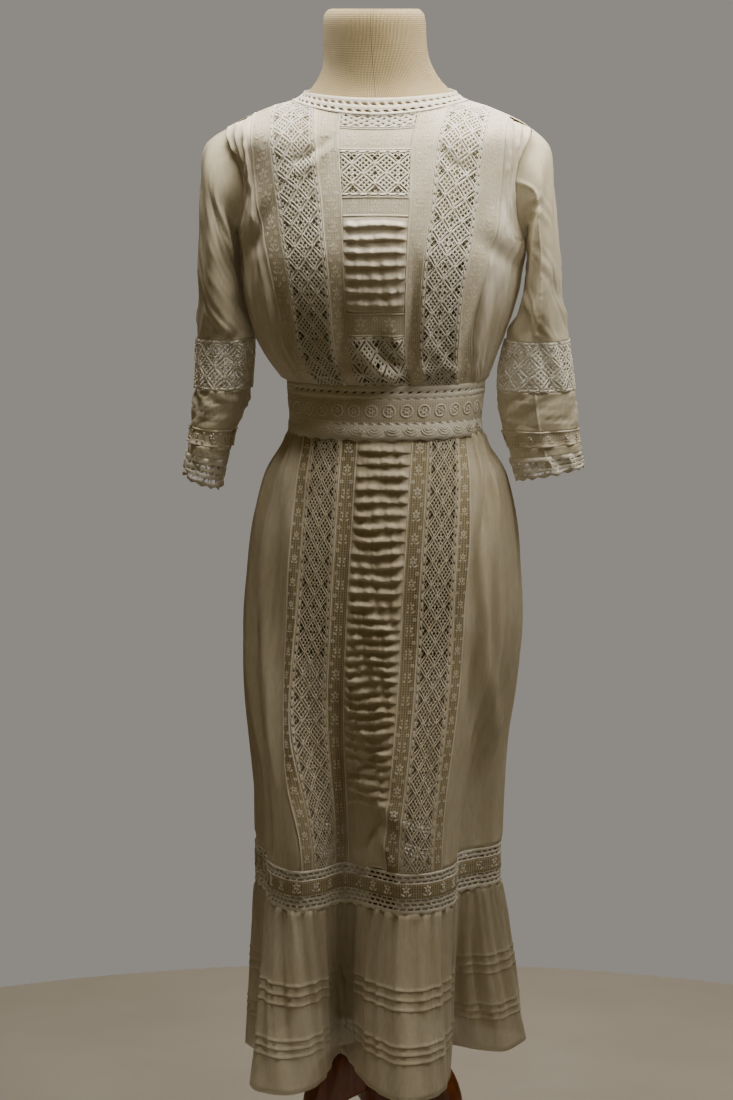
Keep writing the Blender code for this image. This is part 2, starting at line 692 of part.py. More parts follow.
def fold_values(share):
    """Knee and hem places at a share of the way round: 0 centre front, 1 or -1 centre back."""
    middle = CENTRE_BACK * SPLINE_STEPS
    last = len(KNEE_LINE) - 1
    if share >= 0:
        return by_share(KNEE_LINE, 0, middle, share)
    return by_share(KNEE_LINE, middle, last, 1 + share)


FOLD_TABLE = [fold_values(-1 + 2 * index / RING_SAMPLES) for index in range(RING_SAMPLES + 1)]


def upper_point(height, share):
    """A point of the smooth ring that the skirt has above its folds."""
    half_width, front, back, shift, centre_front = smooth_by(SKIRT_RINGS, height)
    start = math.degrees(math.asin((centre_front - shift) / half_width))
    turn = 180 - start if share >= 0 else 180 + start
    angle = math.radians(start + turn * share)
    depth = front if math.cos(angle) > 0 else back
    return shift + half_width * math.sin(angle), -depth * math.cos(angle)


def ring_line(height):
    """The skirt's plan at a height, from centre back through centre front to centre back."""
    line = []
    fold_share = ease((FOLDS_START - height) / (FOLDS_START - KNEE_TOP))
    flare = min(max((KNEE_BOTTOM - height) / (KNEE_BOTTOM - HEM), 0.0), 1.0)
    for index, (knee_x, knee_y, hem_x, hem_y, lift) in enumerate(FOLD_TABLE):
        share = -1 + 2 * index / RING_SAMPLES
        x, y = upper_point(max(height, KNEE_TOP), share)
        x += (knee_x - x) * fold_share
        y += (knee_y - y) * fold_share
        x += (hem_x - knee_x) * flare
        y += (hem_y - knee_y) * flare
        line.append((x, y, height + lift * flare * flare))
    return line


RING_CACHE = {}


def skirt_ring(height):
    """The ring at a height with the distances along it, measured from the centre front."""
    if height not in RING_CACHE:
        line = ring_line(height)
        total = travelled(line)
        centre = total[RING_SAMPLES // 2]
        RING_CACHE[height] = (line, [value - centre for value in total])
    return RING_CACHE[height]


def ring_direction(line, place):
    """The way the ring runs at one of its samples, judged two samples to each side."""
    before = line[(place - 2) % RING_SAMPLES]
    after = line[(place + 2) % RING_SAMPLES]
    return after[0] - before[0], after[1] - before[1], 0.0


def skirt_point(distance, height):
    """A point of the skirt at a distance round it from the centre front, and its outward normal."""
    line, total = skirt_ring(height)
    distance = min(max(distance, total[0]), total[-1])
    place = min(max(bisect.bisect_right(total, distance), 1), len(total) - 1)
    start = line[place - 1]
    end = line[place]
    t = (distance - total[place - 1]) / (total[place] - total[place - 1])
    point = Vector([a + (b - a) * t for a, b in zip(start, end)])
    along = Vector(ring_direction(line, place - 1)).lerp(Vector(ring_direction(line, place)), t).normalized()
    return point, Vector((along.y, -along.x, 0.0))


def skirt_wall(distance, height, rise=0.0, wave=0.0):
    """Outer and inner points of the skirt's wall: a rise lifts the outer one, a wave moves both."""
    point, out = skirt_point(distance, height)
    point += out * wave
    return point + out * rise, point - out * CLOTH


def round_distances(height):
    """Where the skirt's columns stand at a height: its strips' edges, and even steps round each side."""
    total = skirt_ring(height)[1]
    panel, inner_val, cluny, outer_val = SKIRT_STRIPS
    strips = [0.0, panel, inner_val, (inner_val + cluny) / 2, cluny, outer_val]
    right = [outer_val + (total[-1] - outer_val) * step / SKIRT_SIDE_COLUMNS
             for step in range(1, SKIRT_SIDE_COLUMNS + 1)]
    left = [-outer_val + (total[0] + outer_val) * step / SKIRT_SIDE_COLUMNS
            for step in range(1, SKIRT_SIDE_COLUMNS)]
    return list(reversed(left)) + [-value for value in reversed(strips[1:])] + strips + right


def make_skirt_panel(material, collection):
    """The long centre panel with its horizontal tucks, wide ones above and finer ones below."""
    levels = [(SKIRT_ROWS[0], 0.0)]
    height = SKIRT_TUCK_TOP
    for index in range(WIDE_TUCK_COUNT + FINE_TUCK_COUNT):
        levels += [(height, TUCK_RISE), (height - TUCK_STEP, 0.0)]
        height -= WIDE_TUCK_SPACING if index < WIDE_TUCK_COUNT else FINE_TUCK_SPACING
    levels += [(SKIRT_PLAIN_END, 0.0), (SKIRT_ROWS[-1], 0.0)]
    reach = SKIRT_STRIPS[0] - SEAM_GAP / 2

    def place(column, row):
        height, rise = levels[row]
        return skirt_wall((-reach, 0.0, reach)[column], height, rise)

    cloth_wall("skirt_panel", 2, len(levels) - 1, place, material, collection)


def make_skirt_insertion(name, side, material, collection):
    """Narrow lace, wide lace and narrow lace joined edge to edge, from the waist to the knee."""
    panel, inner_val, cluny, outer_val = SKIRT_STRIPS
    step = SKIRT_LACE_STEP
    stops = (
        (panel + SEAM_GAP / 2, 0.0), (inner_val - step, 0.0), (inner_val + step, LACE_RISE),
        ((inner_val + cluny) / 2, LACE_RISE), (cluny - step, LACE_RISE), (cluny + step, 0.0),
        (outer_val - SEAM_GAP / 2, 0.0),
    )

    def place(column, row):
        distance, rise = stops[column if side > 0 else len(stops) - 1 - column]
        ends = row in (0, len(SKIRT_ROWS) - 1)
        return skirt_wall(side * distance, SKIRT_ROWS[row], 0.0 if ends else rise)

    cloth_wall(name, len(stops) - 1, len(SKIRT_ROWS) - 1, place, material, collection)


def make_skirt_side(name, side, material, collection):
    """The lawn from the lace round to the centre back, in soft folds from its gathers."""
    outer_val = SKIRT_STRIPS[3]
    columns = SKIRT_SIDE_COLUMNS
    last = len(SKIRT_ROWS) - 1

    def place(column, row):
        height = SKIRT_ROWS[row]
        total = skirt_ring(height)[1]
        start = outer_val + SEAM_GAP / 2
        end = abs(total[-1] if side > 0 else total[0]) - SEAM_GAP / 2
        step = column if side > 0 else columns - column
        distance = start + (end - start) * step / columns
        fade = ease(row / 2) * ease((last - row) / 4)
        wave = SKIRT_WAVE * fade if step % 2 == 1 else 0.0
        return skirt_wall(side * distance, height, 0.0, wave)

    cloth_wall(name, columns, last, place, material, collection)


def make_waistband(name, first, last, material, collection):
    """Half the openwork waistband, its row of square eyelets cut through."""
    columns = WAIST_COLUMNS // 2
    form = bmesh.new()
    bmesh.ops.create_grid(form, x_segments=columns, y_segments=len(WAIST_ROWS) - 1, size=0.5)
    for vert in form.verts:
        column = round((vert.co.x + 0.5) * columns)
        row = round((vert.co.y + 0.5) * (len(WAIST_ROWS) - 1))
        height = WAIST_ROWS[len(WAIST_ROWS) - 1 - row]
        half_width, front, back, shift, _ = smooth_by(SKIRT_RINGS, height)
        gap = math.degrees(SEAM_GAP / 2 / front)
        angle = math.radians(first + gap + (last - first - 2 * gap) * column / columns)
        depth = front if math.cos(angle) > 0 else back
        vert.co = (shift + half_width * math.sin(angle), -depth * math.cos(angle), height)
    form.normal_update()
    top_faces = [face for face in form.faces if max(vert.co.z for vert in face.verts) > WAIST_ROWS[0] - 1e-5]
    bmesh.ops.inset_individual(form, faces=top_faces, thickness=WAIST_HOLE_FRAME, use_even_offset=True)
    bmesh.ops.delete(form, geom=top_faces, context="FACES")
    item = add_object(name, form, material, collection)
    wall = item.modifiers.new("cloth thickness", "SOLIDIFY")
    wall.thickness = CLOTH
    wall.offset = -1.0
    return item


def make_knee_band(material, collection):
    """The lace band round the knees, its two openwork headings raised at their edges."""
    columns = len(round_distances(KNEE_TOP))

    def place(column, row):
        height = KNEE_ROWS[row]
        rise = LACE_RISE * 1.5 if row in KNEE_RAISED_ROWS else 0.0
        return skirt_wall(round_distances(height)[column], height, rise)

    cloth_wall("knee_band", columns, len(KNEE_ROWS) - 1, place, material, collection, closed=True)


def make_flounce(material, collection):
    """The gathered flounce with two groups of three tucks."""
    levels = [(FLOUNCE_TOP, 0.0, 0.0), (FLOUNCE_GATHER, 0.0, 1.0)]
    for tuck in FLOUNCE_TUCKS:
        levels += [(tuck, TUCK_RISE, 1.0), (tuck - TUCK_STEP, 0.0, 1.0)]
    levels.append((HEM, 0.0, 0.8))
    half = len(round_distances(KNEE_TOP))
    columns = 2 * half

    def place(column, row):
        height, rise, gathers = levels[row]
        distances = round_distances(height)
        here, is_between = divmod(column, 2)
        following = (here + 1) % half
        if not is_between:
            return skirt_wall(distances[here], height, rise, FLOUNCE_WAVE * gathers)
        if row == 0:
            start = skirt_wall(distances[here], height)
            end = skirt_wall(distances[following], height)
            return (start[0] + end[0]) / 2, (start[1] + end[1]) / 2
        before = skirt_ring(height)[1][0] if following == 0 else distances[here]
        return skirt_wall((before + distances[following]) / 2, height, rise, -FLOUNCE_WAVE * gathers)

    cloth_wall("flounce", columns, len(levels) - 1, place, material, collection, closed=True)


# Dress form and stand

def make_torso(material, collection):
    """The smooth padded body of the dress form, from its neck block down to its thighs."""
    columns = FORM_COLUMNS
    rings = []
    for section in FORM_NECK:
        rings.append([section_point(section[1:], 360 * column / columns) for column in range(columns)])
    for inset in FORM_INSETS:
        ring = []
        for column in range(columns):
            angle = 360 * column / columns
            ring.append(bodice_point(angle, inset.section) - bodice_normal(angle, inset.section) * inset.depth)
        rings.append(ring)
    for section in FORM_HIPS:
        rings.append([section_point(section[1:], 360 * column / columns) for column in range(columns)])
    form = bmesh.new()
    bmesh.ops.create_grid(form, x_segments=columns, y_segments=len(rings) - 1, size=0.5)
    for vert in form.verts:
        column = round((vert.co.x + 0.5) * columns) % columns
        row = round((vert.co.y + 0.5) * (len(rings) - 1))
        vert.co = rings[row][column]
    bmesh.ops.remove_doubles(form, verts=form.verts, dist=1e-6)
    bmesh.ops.holes_fill(form, edges=form.edges, sides=0)
    item = add_object("form_torso", form, material, collection)
    item.data.shade_smooth()
    return item


def make_pole(material, collection):
    """The turned pole and the hub that carries the legs."""
    profile = (
        (0.0, TORSO_END - SEAM_GAP), (POLE_RADIUS, TORSO_END - SEAM_GAP), (POLE_RADIUS, HUB_TOP + 0.045),
        (0.019, HUB_TOP + 0.036), (0.026, HUB_TOP + 0.022), (0.020, HUB_TOP + 0.010),
        (HUB_RADIUS, HUB_TOP - 0.006), (HUB_RADIUS, HUB_BOTTOM + 0.010), (0.022, HUB_BOTTOM - 0.002),
        (0.012, HUB_BOTTOM - 0.014), (0.0, HUB_BOTTOM - 0.018),
    )
    mesh = bpy.data.meshes.new("stand_pole")
    mesh.from_pydata([(radius, 0.0, height) for radius, height in profile],
                     [(index, index + 1) for index in range(len(profile) - 1)], [])
    mesh.materials.append(material)
    item = bpy.data.objects.new("stand_pole", mesh)
    collection.objects.link(item)
    turned = item.modifiers.new("turned", "SCREW")
    turned.steps = 18
    turned.render_steps = 18
    turned.use_merge_vertices = True
    turned.merge_threshold = 0.0001
    return item


def make_leg(name, angle, material, collection):
    """One curved leg, sawn from a plank, with its edges eased."""
    curve = bpy.data.curves.new(name + "_outline", "CURVE")
    curve.dimensions = "2D"
    curve.fill_mode = "BOTH"
    curve.extrude = LEG_THICKNESS / 2
    outline = LEG_TOP_EDGE + LEG_BOTTOM_EDGE
    spline = curve.splines.new("POLY")
    spline.points.add(len(outline) - 1)
    for point, (radius, height) in zip(spline.points, outline):
        point.co = (radius, height, 0.0, 1.0)
    spline.use_cyclic_u = True
    guide = bpy.data.objects.new(name + "_outline", curve)
    collection.objects.link(guide)
    mesh = bpy.data.meshes.new_from_object(guide.evaluated_get(bpy.context.evaluated_depsgraph_get()))
    bpy.data.objects.remove(guide, do_unlink=True)
    form = bmesh.new()
    form.from_mesh(mesh)
    bmesh.ops.remove_doubles(form, verts=form.verts, dist=1e-5)
    for vert in form.verts:
        vert.co = Vector((vert.co.x, vert.co.z, vert.co.y))
    item = add_object(name, form, material, collection)
    item.rotation_euler = (0.0, 0.0, math.radians(angle - 90))
    return item


def main():
    """Build the dress and its form."""
    clear_scene()
    lawn = finish_material("cotton_lawn", (0.80, 0.77, 0.68), 0.85)
    lace = finish_material("cotton_lace", (0.76, 0.72, 0.61), 0.88)
    jersey = finish_material("ribbed_jersey", (0.78, 0.72, 0.60), 0.85)
    wood = finish_material("polished_wood", (0.20, 0.085, 0.035), 0.30)
    collection = bpy.data.collections.new("lawn_dress_on_form")
    bpy.context.scene.collection.children.link(collection)

    make_neckband(lace, collection)
    make_bodice_panel(lawn, collection)
    make_placket(lawn, collection)
    for side, word in ((-1, "left"), (1, "right")):
        make_bodice_insertion("bodice_insertion_" + word, side, lace, collection)
        make_side_front("bodice_front_" + word, side, lawn, collection)
        make_bodice_back("bodice_back_" + word, side, lawn, collection)
    make_waistband("waistband_front", -90.0, 90.0, lace, collection)
    make_waistband("waistband_back", 90.0, 270.0, lace, collection)
    for side, word, rings in ((-1, "left", LEFT_SLEEVE), (1, "right", RIGHT_SLEEVE)):
        make_sleeve_piece("sleeve_upper_" + word, rings, side, SLEEVE_UPPER_ROWS, 0.0, lawn, collection)
        make_sleeve_piece("sleeve_lace_" + word, rings, side, SLEEVE_LACE_ROWS, LACE_RISE, lace, collection)
        make_sleeve_piece("sleeve_lower_" + word, rings, side, SLEEVE_LOWER_ROWS, 0.0, lawn, collection)
    make_skirt_panel(lawn, collection)
    for side, word in ((-1, "left"), (1, "right")):
        make_skirt_insertion("skirt_insertion_" + word, side, lace, collection)
        make_skirt_side("skirt_side_" + word, side, lawn, collection)
    make_knee_band(lace, collection)
    make_flounce(lawn, collection)
    make_torso(jersey, collection)
    make_pole(wood, collection)
    for word, angle in zip(("right", "back", "left"), LEG_ANGLES):
        make_leg("stand_leg_" + word, angle, wood, collection)


main()
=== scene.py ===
"""A lawn dress with lace insertions on a limbless dress form: the cloth, lace, form, stand, light and camera.

Every cloth piece is cut flat, in metres, with u across it and v up it. It is worked there (tucked,
pierced, embroidered), and is then laid on its own patch of the garment's surface.
"""
from __future__ import annotations

import bisect
import logging
import math
from dataclasses import dataclass, field
from enum import Enum
from functools import lru_cache
from typing import Callable, Iterable, Sequence

import bmesh
import bpy
import numpy as np
from mathutils import Matrix, Vector

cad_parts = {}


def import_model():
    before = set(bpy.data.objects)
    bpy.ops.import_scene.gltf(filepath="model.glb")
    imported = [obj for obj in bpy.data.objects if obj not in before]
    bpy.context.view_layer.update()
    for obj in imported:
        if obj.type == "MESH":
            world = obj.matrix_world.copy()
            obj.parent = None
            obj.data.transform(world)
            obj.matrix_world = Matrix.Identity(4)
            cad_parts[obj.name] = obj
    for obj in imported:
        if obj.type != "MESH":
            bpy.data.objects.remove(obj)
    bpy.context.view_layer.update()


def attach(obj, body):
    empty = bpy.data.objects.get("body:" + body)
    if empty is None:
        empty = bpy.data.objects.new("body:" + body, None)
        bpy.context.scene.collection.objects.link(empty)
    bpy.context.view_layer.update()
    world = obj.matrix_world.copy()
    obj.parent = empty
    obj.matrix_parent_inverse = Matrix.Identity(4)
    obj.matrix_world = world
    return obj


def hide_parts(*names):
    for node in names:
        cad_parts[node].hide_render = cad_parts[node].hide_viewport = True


Point = tuple[float, float]
Row = tuple[float, ...]
Grid = np.ndarray
Relief = Callable[[Grid, Grid], Grid]
Form = bmesh.types.BMesh
Material = bpy.types.Material
Socket = bpy.types.NodeSocket

UV_NAME = "cut"

# The solids' wall, and the gaps, walls and lifts of the sheets, in metres
CLOTH = 0.0014
SEAM_GAP = 0.00035
JOIN_GAP = 0.0002
LAP = 0.0012
LAWN_WALL = 0.00045
BRAID_WALL = 0.0009
BRAID_LIFT = 0.0008
NET_WALL = 0.0003
NET_LIFT = 0.0002
TUCK_STEP = 0.0016


class Slot(Enum):
    """The record's material slots."""

    LAWN = "cotton_lawn"
    LACE = "cotton_lace"
    JERSEY = "ribbed_jersey"
    WOOD = "polished_wood"


@dataclass(frozen=True)
class Section:
    """A level of the bodice or of the dress form: heights at front, side and back, and its reach."""

    front_z: float
    side_z: float
    back_z: float
    half_width: float
    front: float
    back: float
    shift: float


@dataclass(frozen=True)
class StripEdges:
    """Where the bodice's strips end at a section, from a centre line that wanders."""

    section: float
    centre: float
    panel: float
    inner_val: float
    cluny: float
    outer_val: float


@dataclass(frozen=True)
class SleeveRing:
    """A ring of a sleeve: its centre, how far its outer side reaches out and up, and half its depth."""

    out: float
    height: float
    back_set: float
    across: float
    rise: float
    half_depth: float


@dataclass(frozen=True)
class SkirtRing:
    """A level ring of the skirt above its folds."""

    height: float
    half_width: float
    front: float
    back: float
    shift: float
    centre_front: float


@dataclass(frozen=True)
class Fold:
    """A large fold of the skirt: where it stands at the knee and at the hem, and its hem's lift."""

    knee_x: float
    knee_y: float
    hem_x: float
    hem_y: float
    lift: float


WAIST_TOP = 1.042
FOLDS_START = 0.780
KNEE_TOP = 0.482
KNEE_BOTTOM = 0.435
HEM = 0.228
TORSO_END = 0.715

BODICE = (
    Section(1.042, 1.042, 1.042, 0.117, 0.093, 0.086, 0.004),
    Section(1.080, 1.080, 1.080, 0.139, 0.112, 0.100, -0.003),
    Section(1.134, 1.134, 1.134, 0.158, 0.126, 0.108, -0.002),
    Section(1.185, 1.180, 1.182, 0.165, 0.131, 0.110, 0.000),
    Section(1.222, 1.205, 1.214, 0.167, 0.127, 0.109, 0.000),
    Section(1.264, 1.252, 1.262, 0.170, 0.118, 0.106, 0.000),
    Section(1.296, 1.300, 1.306, 0.176, 0.108, 0.100, -0.002),
    Section(1.322, 1.334, 1.338, 0.178, 0.099, 0.092, -0.004),
    Section(1.338, 1.357, 1.361, 0.136, 0.091, 0.083, -0.004),
    Section(1.354, 1.3685, 1.374, 0.100, 0.084, 0.076, -0.003),
    Section(1.3715, 1.3775, 1.389, 0.088, 0.075, 0.068, -0.003),
)
UNDERARM = 4
SHOULDER_TIP = 7
NECK_SEAM = 9
BODICE_TOP = 8.91
NECK_EDGE = 10

FORM_INSETS = (
    (10.0, 0.0020), (9.5, 0.0021), (9.0, 0.0050), (8.3, 0.0095), (7.6, 0.0105), (7.0, 0.0130),
    (6.0, 0.0145), (4.7, 0.0160), (3.0, 0.0190), (2.0, 0.0200), (1.0, 0.0180), (0.0, 0.0105),
)
FORM_NECK = (
    Section(1.4735, 1.4735, 1.4735, 0.053, 0.051, 0.051, -0.010),
    Section(1.4640, 1.4640, 1.4640, 0.0595, 0.0575, 0.0575, -0.010),
    Section(1.4300, 1.4300, 1.4300, 0.0605, 0.0585, 0.0580, -0.009),
    Section(1.3960, 1.4060, 1.4120, 0.0640, 0.0610, 0.0590, -0.006),
    Section(1.3790, 1.3860, 1.3950, 0.0760, 0.0665, 0.0615, -0.004),
)
FORM_HIPS = (
    Section(1.000, 1.000, 1.000, 0.1045, 0.0840, 0.0760, 0.004),
    Section(0.960, 0.960, 0.960, 0.1130, 0.0890, 0.0830, 0.003),
    Section(0.905, 0.905, 0.905, 0.1330, 0.0980, 0.1010, 0.002),
    Section(0.850, 0.850, 0.850, 0.1450, 0.1030, 0.1110, 0.001),
    Section(0.790, 0.790, 0.790, 0.1460, 0.1030, 0.1120, 0.000),
    Section(0.735, 0.735, 0.735, 0.1400, 0.0990, 0.1060, 0.000),
    Section(0.720, 0.720, 0.720, 0.1340, 0.0940, 0.1000, 0.000),
    Section(TORSO_END, TORSO_END, TORSO_END, 0.1250, 0.0860, 0.0910, 0.000),
)

BODICE_STRIPS = (
    StripEdges(0.0, 0.006, 0.030, 0.045, 0.082, 0.097),
    StripEdges(3.0, 0.000, 0.035, 0.056, 0.104, 0.127),
    StripEdges(5.5, 0.000, 0.039, 0.067, 0.118, 0.144),
    StripEdges(9.0, 0.005, 0.044, 0.078, 0.130, 0.153),
)

# Degrees from the front at which a strip has reached the shoulder seam, and the furthest it goes
FACES_SIDE = 89.0
STRIP_LIMIT = 89.8
ARMHOLE_HALF_ANGLE = 24.0
ARMHOLE_MIDDLE = (UNDERARM + SHOULDER_TIP) / 2
ARMHOLE_REACH = (SHOULDER_TIP - UNDERARM) / 2

LEFT_SLEEVE = (
    SleeveRing(0.1890, 1.264, 0.002, 0.0190, 0.048, 0.055),
    SleeveRing(0.1905, 1.222, 0.004, 0.0215, 0.028, 0.060),
    SleeveRing(0.1925, 1.180, 0.006, 0.0235, 0.008, 0.062),
    SleeveRing(0.1900, 1.130, 0.006, 0.0265, 0.002, 0.060),
    SleeveRing(0.1860, 1.089, 0.004, 0.0335, 0.000, 0.052),
    SleeveRing(0.1890, 1.031, 0.000, 0.0320, 0.000, 0.052),
    SleeveRing(0.2000, 0.985, -0.002, 0.0265, 0.002, 0.052),
    SleeveRing(0.2065, 0.955, -0.003, 0.0235, 0.004, 0.051),
    SleeveRing(0.2130, 0.922, -0.004, 0.0200, 0.008, 0.050),
)
RIGHT_SLEEVE = (
    SleeveRing(0.1825, 1.264, 0.002, 0.0125, 0.048, 0.056),
    SleeveRing(0.1855, 1.222, 0.004, 0.0160, 0.029, 0.062),
    SleeveRing(0.1885, 1.180, 0.006, 0.0190, 0.008, 0.064),
    SleeveRing(0.1870, 1.130, 0.006, 0.0240, 0.002, 0.062),
    SleeveRing(0.1825, 1.089, 0.003, 0.0365, 0.000, 0.050),
    SleeveRing(0.1815, 1.031, -0.003, 0.0455, 0.000, 0.042),
    SleeveRing(0.1870, 0.985, -0.006, 0.0440, 0.001, 0.038),
    SleeveRing(0.1935, 0.958, -0.007, 0.0415, 0.004, 0.036),
    SleeveRing(0.1985, 0.934, -0.008, 0.0395, 0.008, 0.035),
)

SKIRT_RINGS = (
    SkirtRing(1.042, 0.117, 0.093, 0.086, 0.004, 0.010),
    SkirtRing(0.975, 0.114, 0.098, 0.088, 0.003, 0.009),
    SkirtRing(0.932, 0.139, 0.110, 0.106, 0.003, 0.007),
    SkirtRing(0.872, 0.154, 0.120, 0.120, 0.002, 0.004),
    SkirtRing(0.800, 0.161, 0.126, 0.129, 0.001, 0.000),
    SkirtRing(0.720, 0.166, 0.130, 0.135, -0.001, -0.003),
    SkirtRing(0.640, 0.166, 0.134, 0.138, -0.003, -0.006),
    SkirtRing(0.560, 0.160, 0.138, 0.138, -0.004, -0.008),
    SkirtRing(0.482, 0.150, 0.140, 0.136, -0.005, -0.008),
)
SKIRT_STRIPS = (0.031, 0.053, 0.093, 0.110)

# In order from the centre front to the wearer's left, round the back, and on to the centre front
FOLDS = (
    Fold(-0.008, -0.128, -0.006, -0.165, 0.002),
    Fold(0.034, -0.163, 0.038, -0.226, 0.000),
    Fold(0.072, -0.148, 0.081, -0.190, 0.000),
    Fold(0.093, -0.105, 0.088, -0.096, 0.004),
    Fold(0.093, -0.054, 0.076, -0.012, 0.008),
    Fold(0.109, -0.030, 0.111, -0.022, 0.006),
    Fold(0.133, -0.010, 0.150, -0.014, 0.002),
    Fold(0.141, 0.026, 0.171, 0.050, 0.004),
    Fold(0.112, 0.068, 0.104, 0.078, 0.008),
    Fold(0.098, 0.121, 0.116, 0.178, 0.000),
    Fold(0.046, 0.102, 0.050, 0.088, 0.008),
    Fold(0.000, 0.146, 0.004, 0.222, 0.000),
    Fold(-0.050, 0.100, -0.046, 0.088, 0.008),
    Fold(-0.100, 0.124, -0.112, 0.184, 0.000),
    Fold(-0.124, 0.066, -0.116, 0.070, 0.007),
    Fold(-0.153, 0.010, -0.166, 0.006, 0.002),
    Fold(-0.136, -0.050, -0.134, -0.072, 0.005),
    Fold(-0.122, -0.118, -0.142, -0.176, 0.000),
    Fold(-0.090, -0.158, -0.094, -0.208, 0.000),
    Fold(-0.062, -0.142, -0.060, -0.160, 0.002),
    Fold(-0.038, -0.106, -0.046, -0.060, 0.009),
)
CENTRE_BACK = 11
SPLINE_STEPS = 24
RING_SAMPLES = 660


def numbers(row: object) -> Row:
    """A table row's columns as a plain tuple."""
    return tuple(vars(row).values())


def hermite(before: float, start: float, end: float, after: float, t: float) -> float:
    """Read a smooth curve through four evenly spaced values, between the middle two."""
    slope_start = (end - before) / 2
    slope_end = (after - start) / 2
    t2 = t * t
    t3 = t2 * t
    return (
        (2 * t3 - 3 * t2 + 1) * start + (t3 - 2 * t2 + t) * slope_start
        + (3 * t2 - 2 * t3) * end + (t3 - t2) * slope_end
    )


def read_rows(rows: Sequence[Row], position: float) -> Row:
    """Read a table at a fractional row, smoothly.

    Args:
        rows: the table, as plain tuples.
        position: the row, 0 for the first one.

    Returns:
        Every column at that place.
    """
    last = len(rows) - 1
    position = min(max(position, 0.0), float(last))
    row = min(int(position), last - 1)
    picks = [rows[min(max(row + step, 0), last)] for step in (-1, 0, 1, 2)]
    return tuple(hermite(*column, position - row) for column in zip(*picks))


def straight(rows: Sequence[Sequence[float]], position: float) -> list[float]:
    """Read a table at a fractional row, straight from one row to the next."""
    low = min(int(position), len(rows) - 2)
    return [a + (b - a) * (position - low) for a, b in zip(rows[low], rows[low + 1])]


def halved(low: float, high: float, steps: int, holds: Callable[[float], bool]) -> float:
    """The highest place between two at which a test holds, found by halving."""
    for _ in range(steps):
        middle = (low + high) / 2
        low, high = (middle, high) if holds(middle) else (low, middle)
    return low


def row_place(keys: Sequence[float], value: float) -> float:
    """The fractional row at which a table's rising key has a value."""
    value = min(max(value, keys[0]), keys[-1])
    place = min(max(bisect.bisect_right(keys, value), 1), len(keys) - 1)
    return place - 1 + (value - keys[place - 1]) / (keys[place] - keys[place - 1])


def ease(t: float) -> float:
    """Turn a straight 0 to 1 into a soft start and end."""
    t = min(max(t, 0.0), 1.0)
    return t * t * (3 - 2 * t)


def oval(angle: float, half_width: float, front: float, back: float, shift: float) -> Point:
    """A point of a level ring: angle 0 is the front, and positive angles go towards +X."""
    sine, cosine = math.sin(math.radians(angle)), math.cos(math.radians(angle))
    return shift + half_width * sine, -(front if cosine > 0 else back) * cosine


def section_point(values: Sequence[float], angle: float) -> Vector:
    """A point of a section's ring, which rises or falls towards the front and the back."""
    front_z, side_z, back_z, *ring = values
    cosine = math.cos(math.radians(angle))
    end_z = front_z if cosine > 0 else back_z
    return Vector((*oval(angle, *ring), side_z + (end_z - side_z) * cosine ** 2))


BODICE_ROWS = tuple(numbers(row) for row in BODICE)
STRIP_ROWS = tuple(numbers(row) for row in BODICE_STRIPS)


@lru_cache(maxsize=None)
def bodice_section(section: float) -> Row:
    """The bodice's table at a fractional section."""
    return read_rows(BODICE_ROWS, section)


def bodice_point(angle: float, section: float) -> Vector:
    """The bodice's surface."""
    return section_point(bodice_section(section), angle)


def bodice_normal(angle: float, section: float) -> Vector:
    """The bodice's outward normal."""
    section = min(section, NECK_EDGE - 0.02)
    side = bodice_point(angle + 0.5, section) - bodice_point(angle - 0.5, section)
    rise = bodice_point(angle, section + 0.02) - bodice_point(angle, section - 0.02)
    return side.cross(rise).normalized()


def strip_angle(section: float, strip: float, side: int) -> float:
    """The angle at which a strip of the bodice front ends, strip 0 being the centre front line."""
    row = straight(STRIP_ROWS, row_place([row[0] for row in STRIP_ROWS], section))
    edges = [0.0] + row[2:]
    first = int(min(strip, 3))
    reach = edges[first] + (edges[first + 1] - edges[first]) * (strip - first)
    sine = (row[1] + side * reach) / bodice_section(section)[3]
    return math.degrees(math.asin(min(max(sine, -1.0), 1.0)))


@lru_cache(maxsize=None)
def strip_top(strip: float, side: int) -> float:
    """The section where a strip's edge meets the neck seam, or the shoulder seam before it."""
    def inside(section: float) -> bool:
        return abs(strip_angle(section, strip, side)) < FACES_SIDE

    return BODICE_TOP if inside(BODICE_TOP) else halved(SHOULDER_TIP, BODICE_TOP, 30, inside)


@lru_cache(maxsize=None)
def section_at_height(height: float) -> float:
    """The bodice section whose front lies at a height."""
    return halved(0.0, NECK_EDGE, 40, lambda section: bodice_section(section)[0] < height)


def armhole_angle(section: float) -> float:
    """How far the armhole's edge lies from the side seam, in degrees."""
    reach = (section - ARMHOLE_MIDDLE) / ARMHOLE_REACH
    return ARMHOLE_HALF_ANGLE * math.sqrt(max(1.0 - reach * reach, 0.0))


def front_section(base: float, top: float) -> float:
    """The section of a front row, which spreads above the underarm to end at the column's own top."""
    if base <= UNDERARM:
        return base
    return UNDERARM + (top - UNDERARM) * (base - UNDERARM) / (SHOULDER_TIP - UNDERARM)


def sleeve_point(rings: Sequence[SleeveRing], side: int, angle: float, position: float) -> Vector:
    """A sleeve's surface: position 0 is the armhole, then one step for each ring of its table."""
    sine = math.sin(math.radians(angle))
    cosine = math.cos(math.radians(angle))
    armhole = ARMHOLE_MIDDLE + ARMHOLE_REACH * cosine
    seat_angle = side * (90 - ARMHOLE_HALF_ANGLE * sine)
    seat = bodice_point(seat_angle, armhole) + bodice_normal(seat_angle, armhole) * CLOTH * 0.6
    points = [tuple(seat)]
    for ring in rings:
        out = ring.out + ring.across * cosine
        points.append((side * out, ring.back_set - ring.half_depth * sine, ring.height + ring.rise * cosine))
    return Vector(read_rows(points, position))


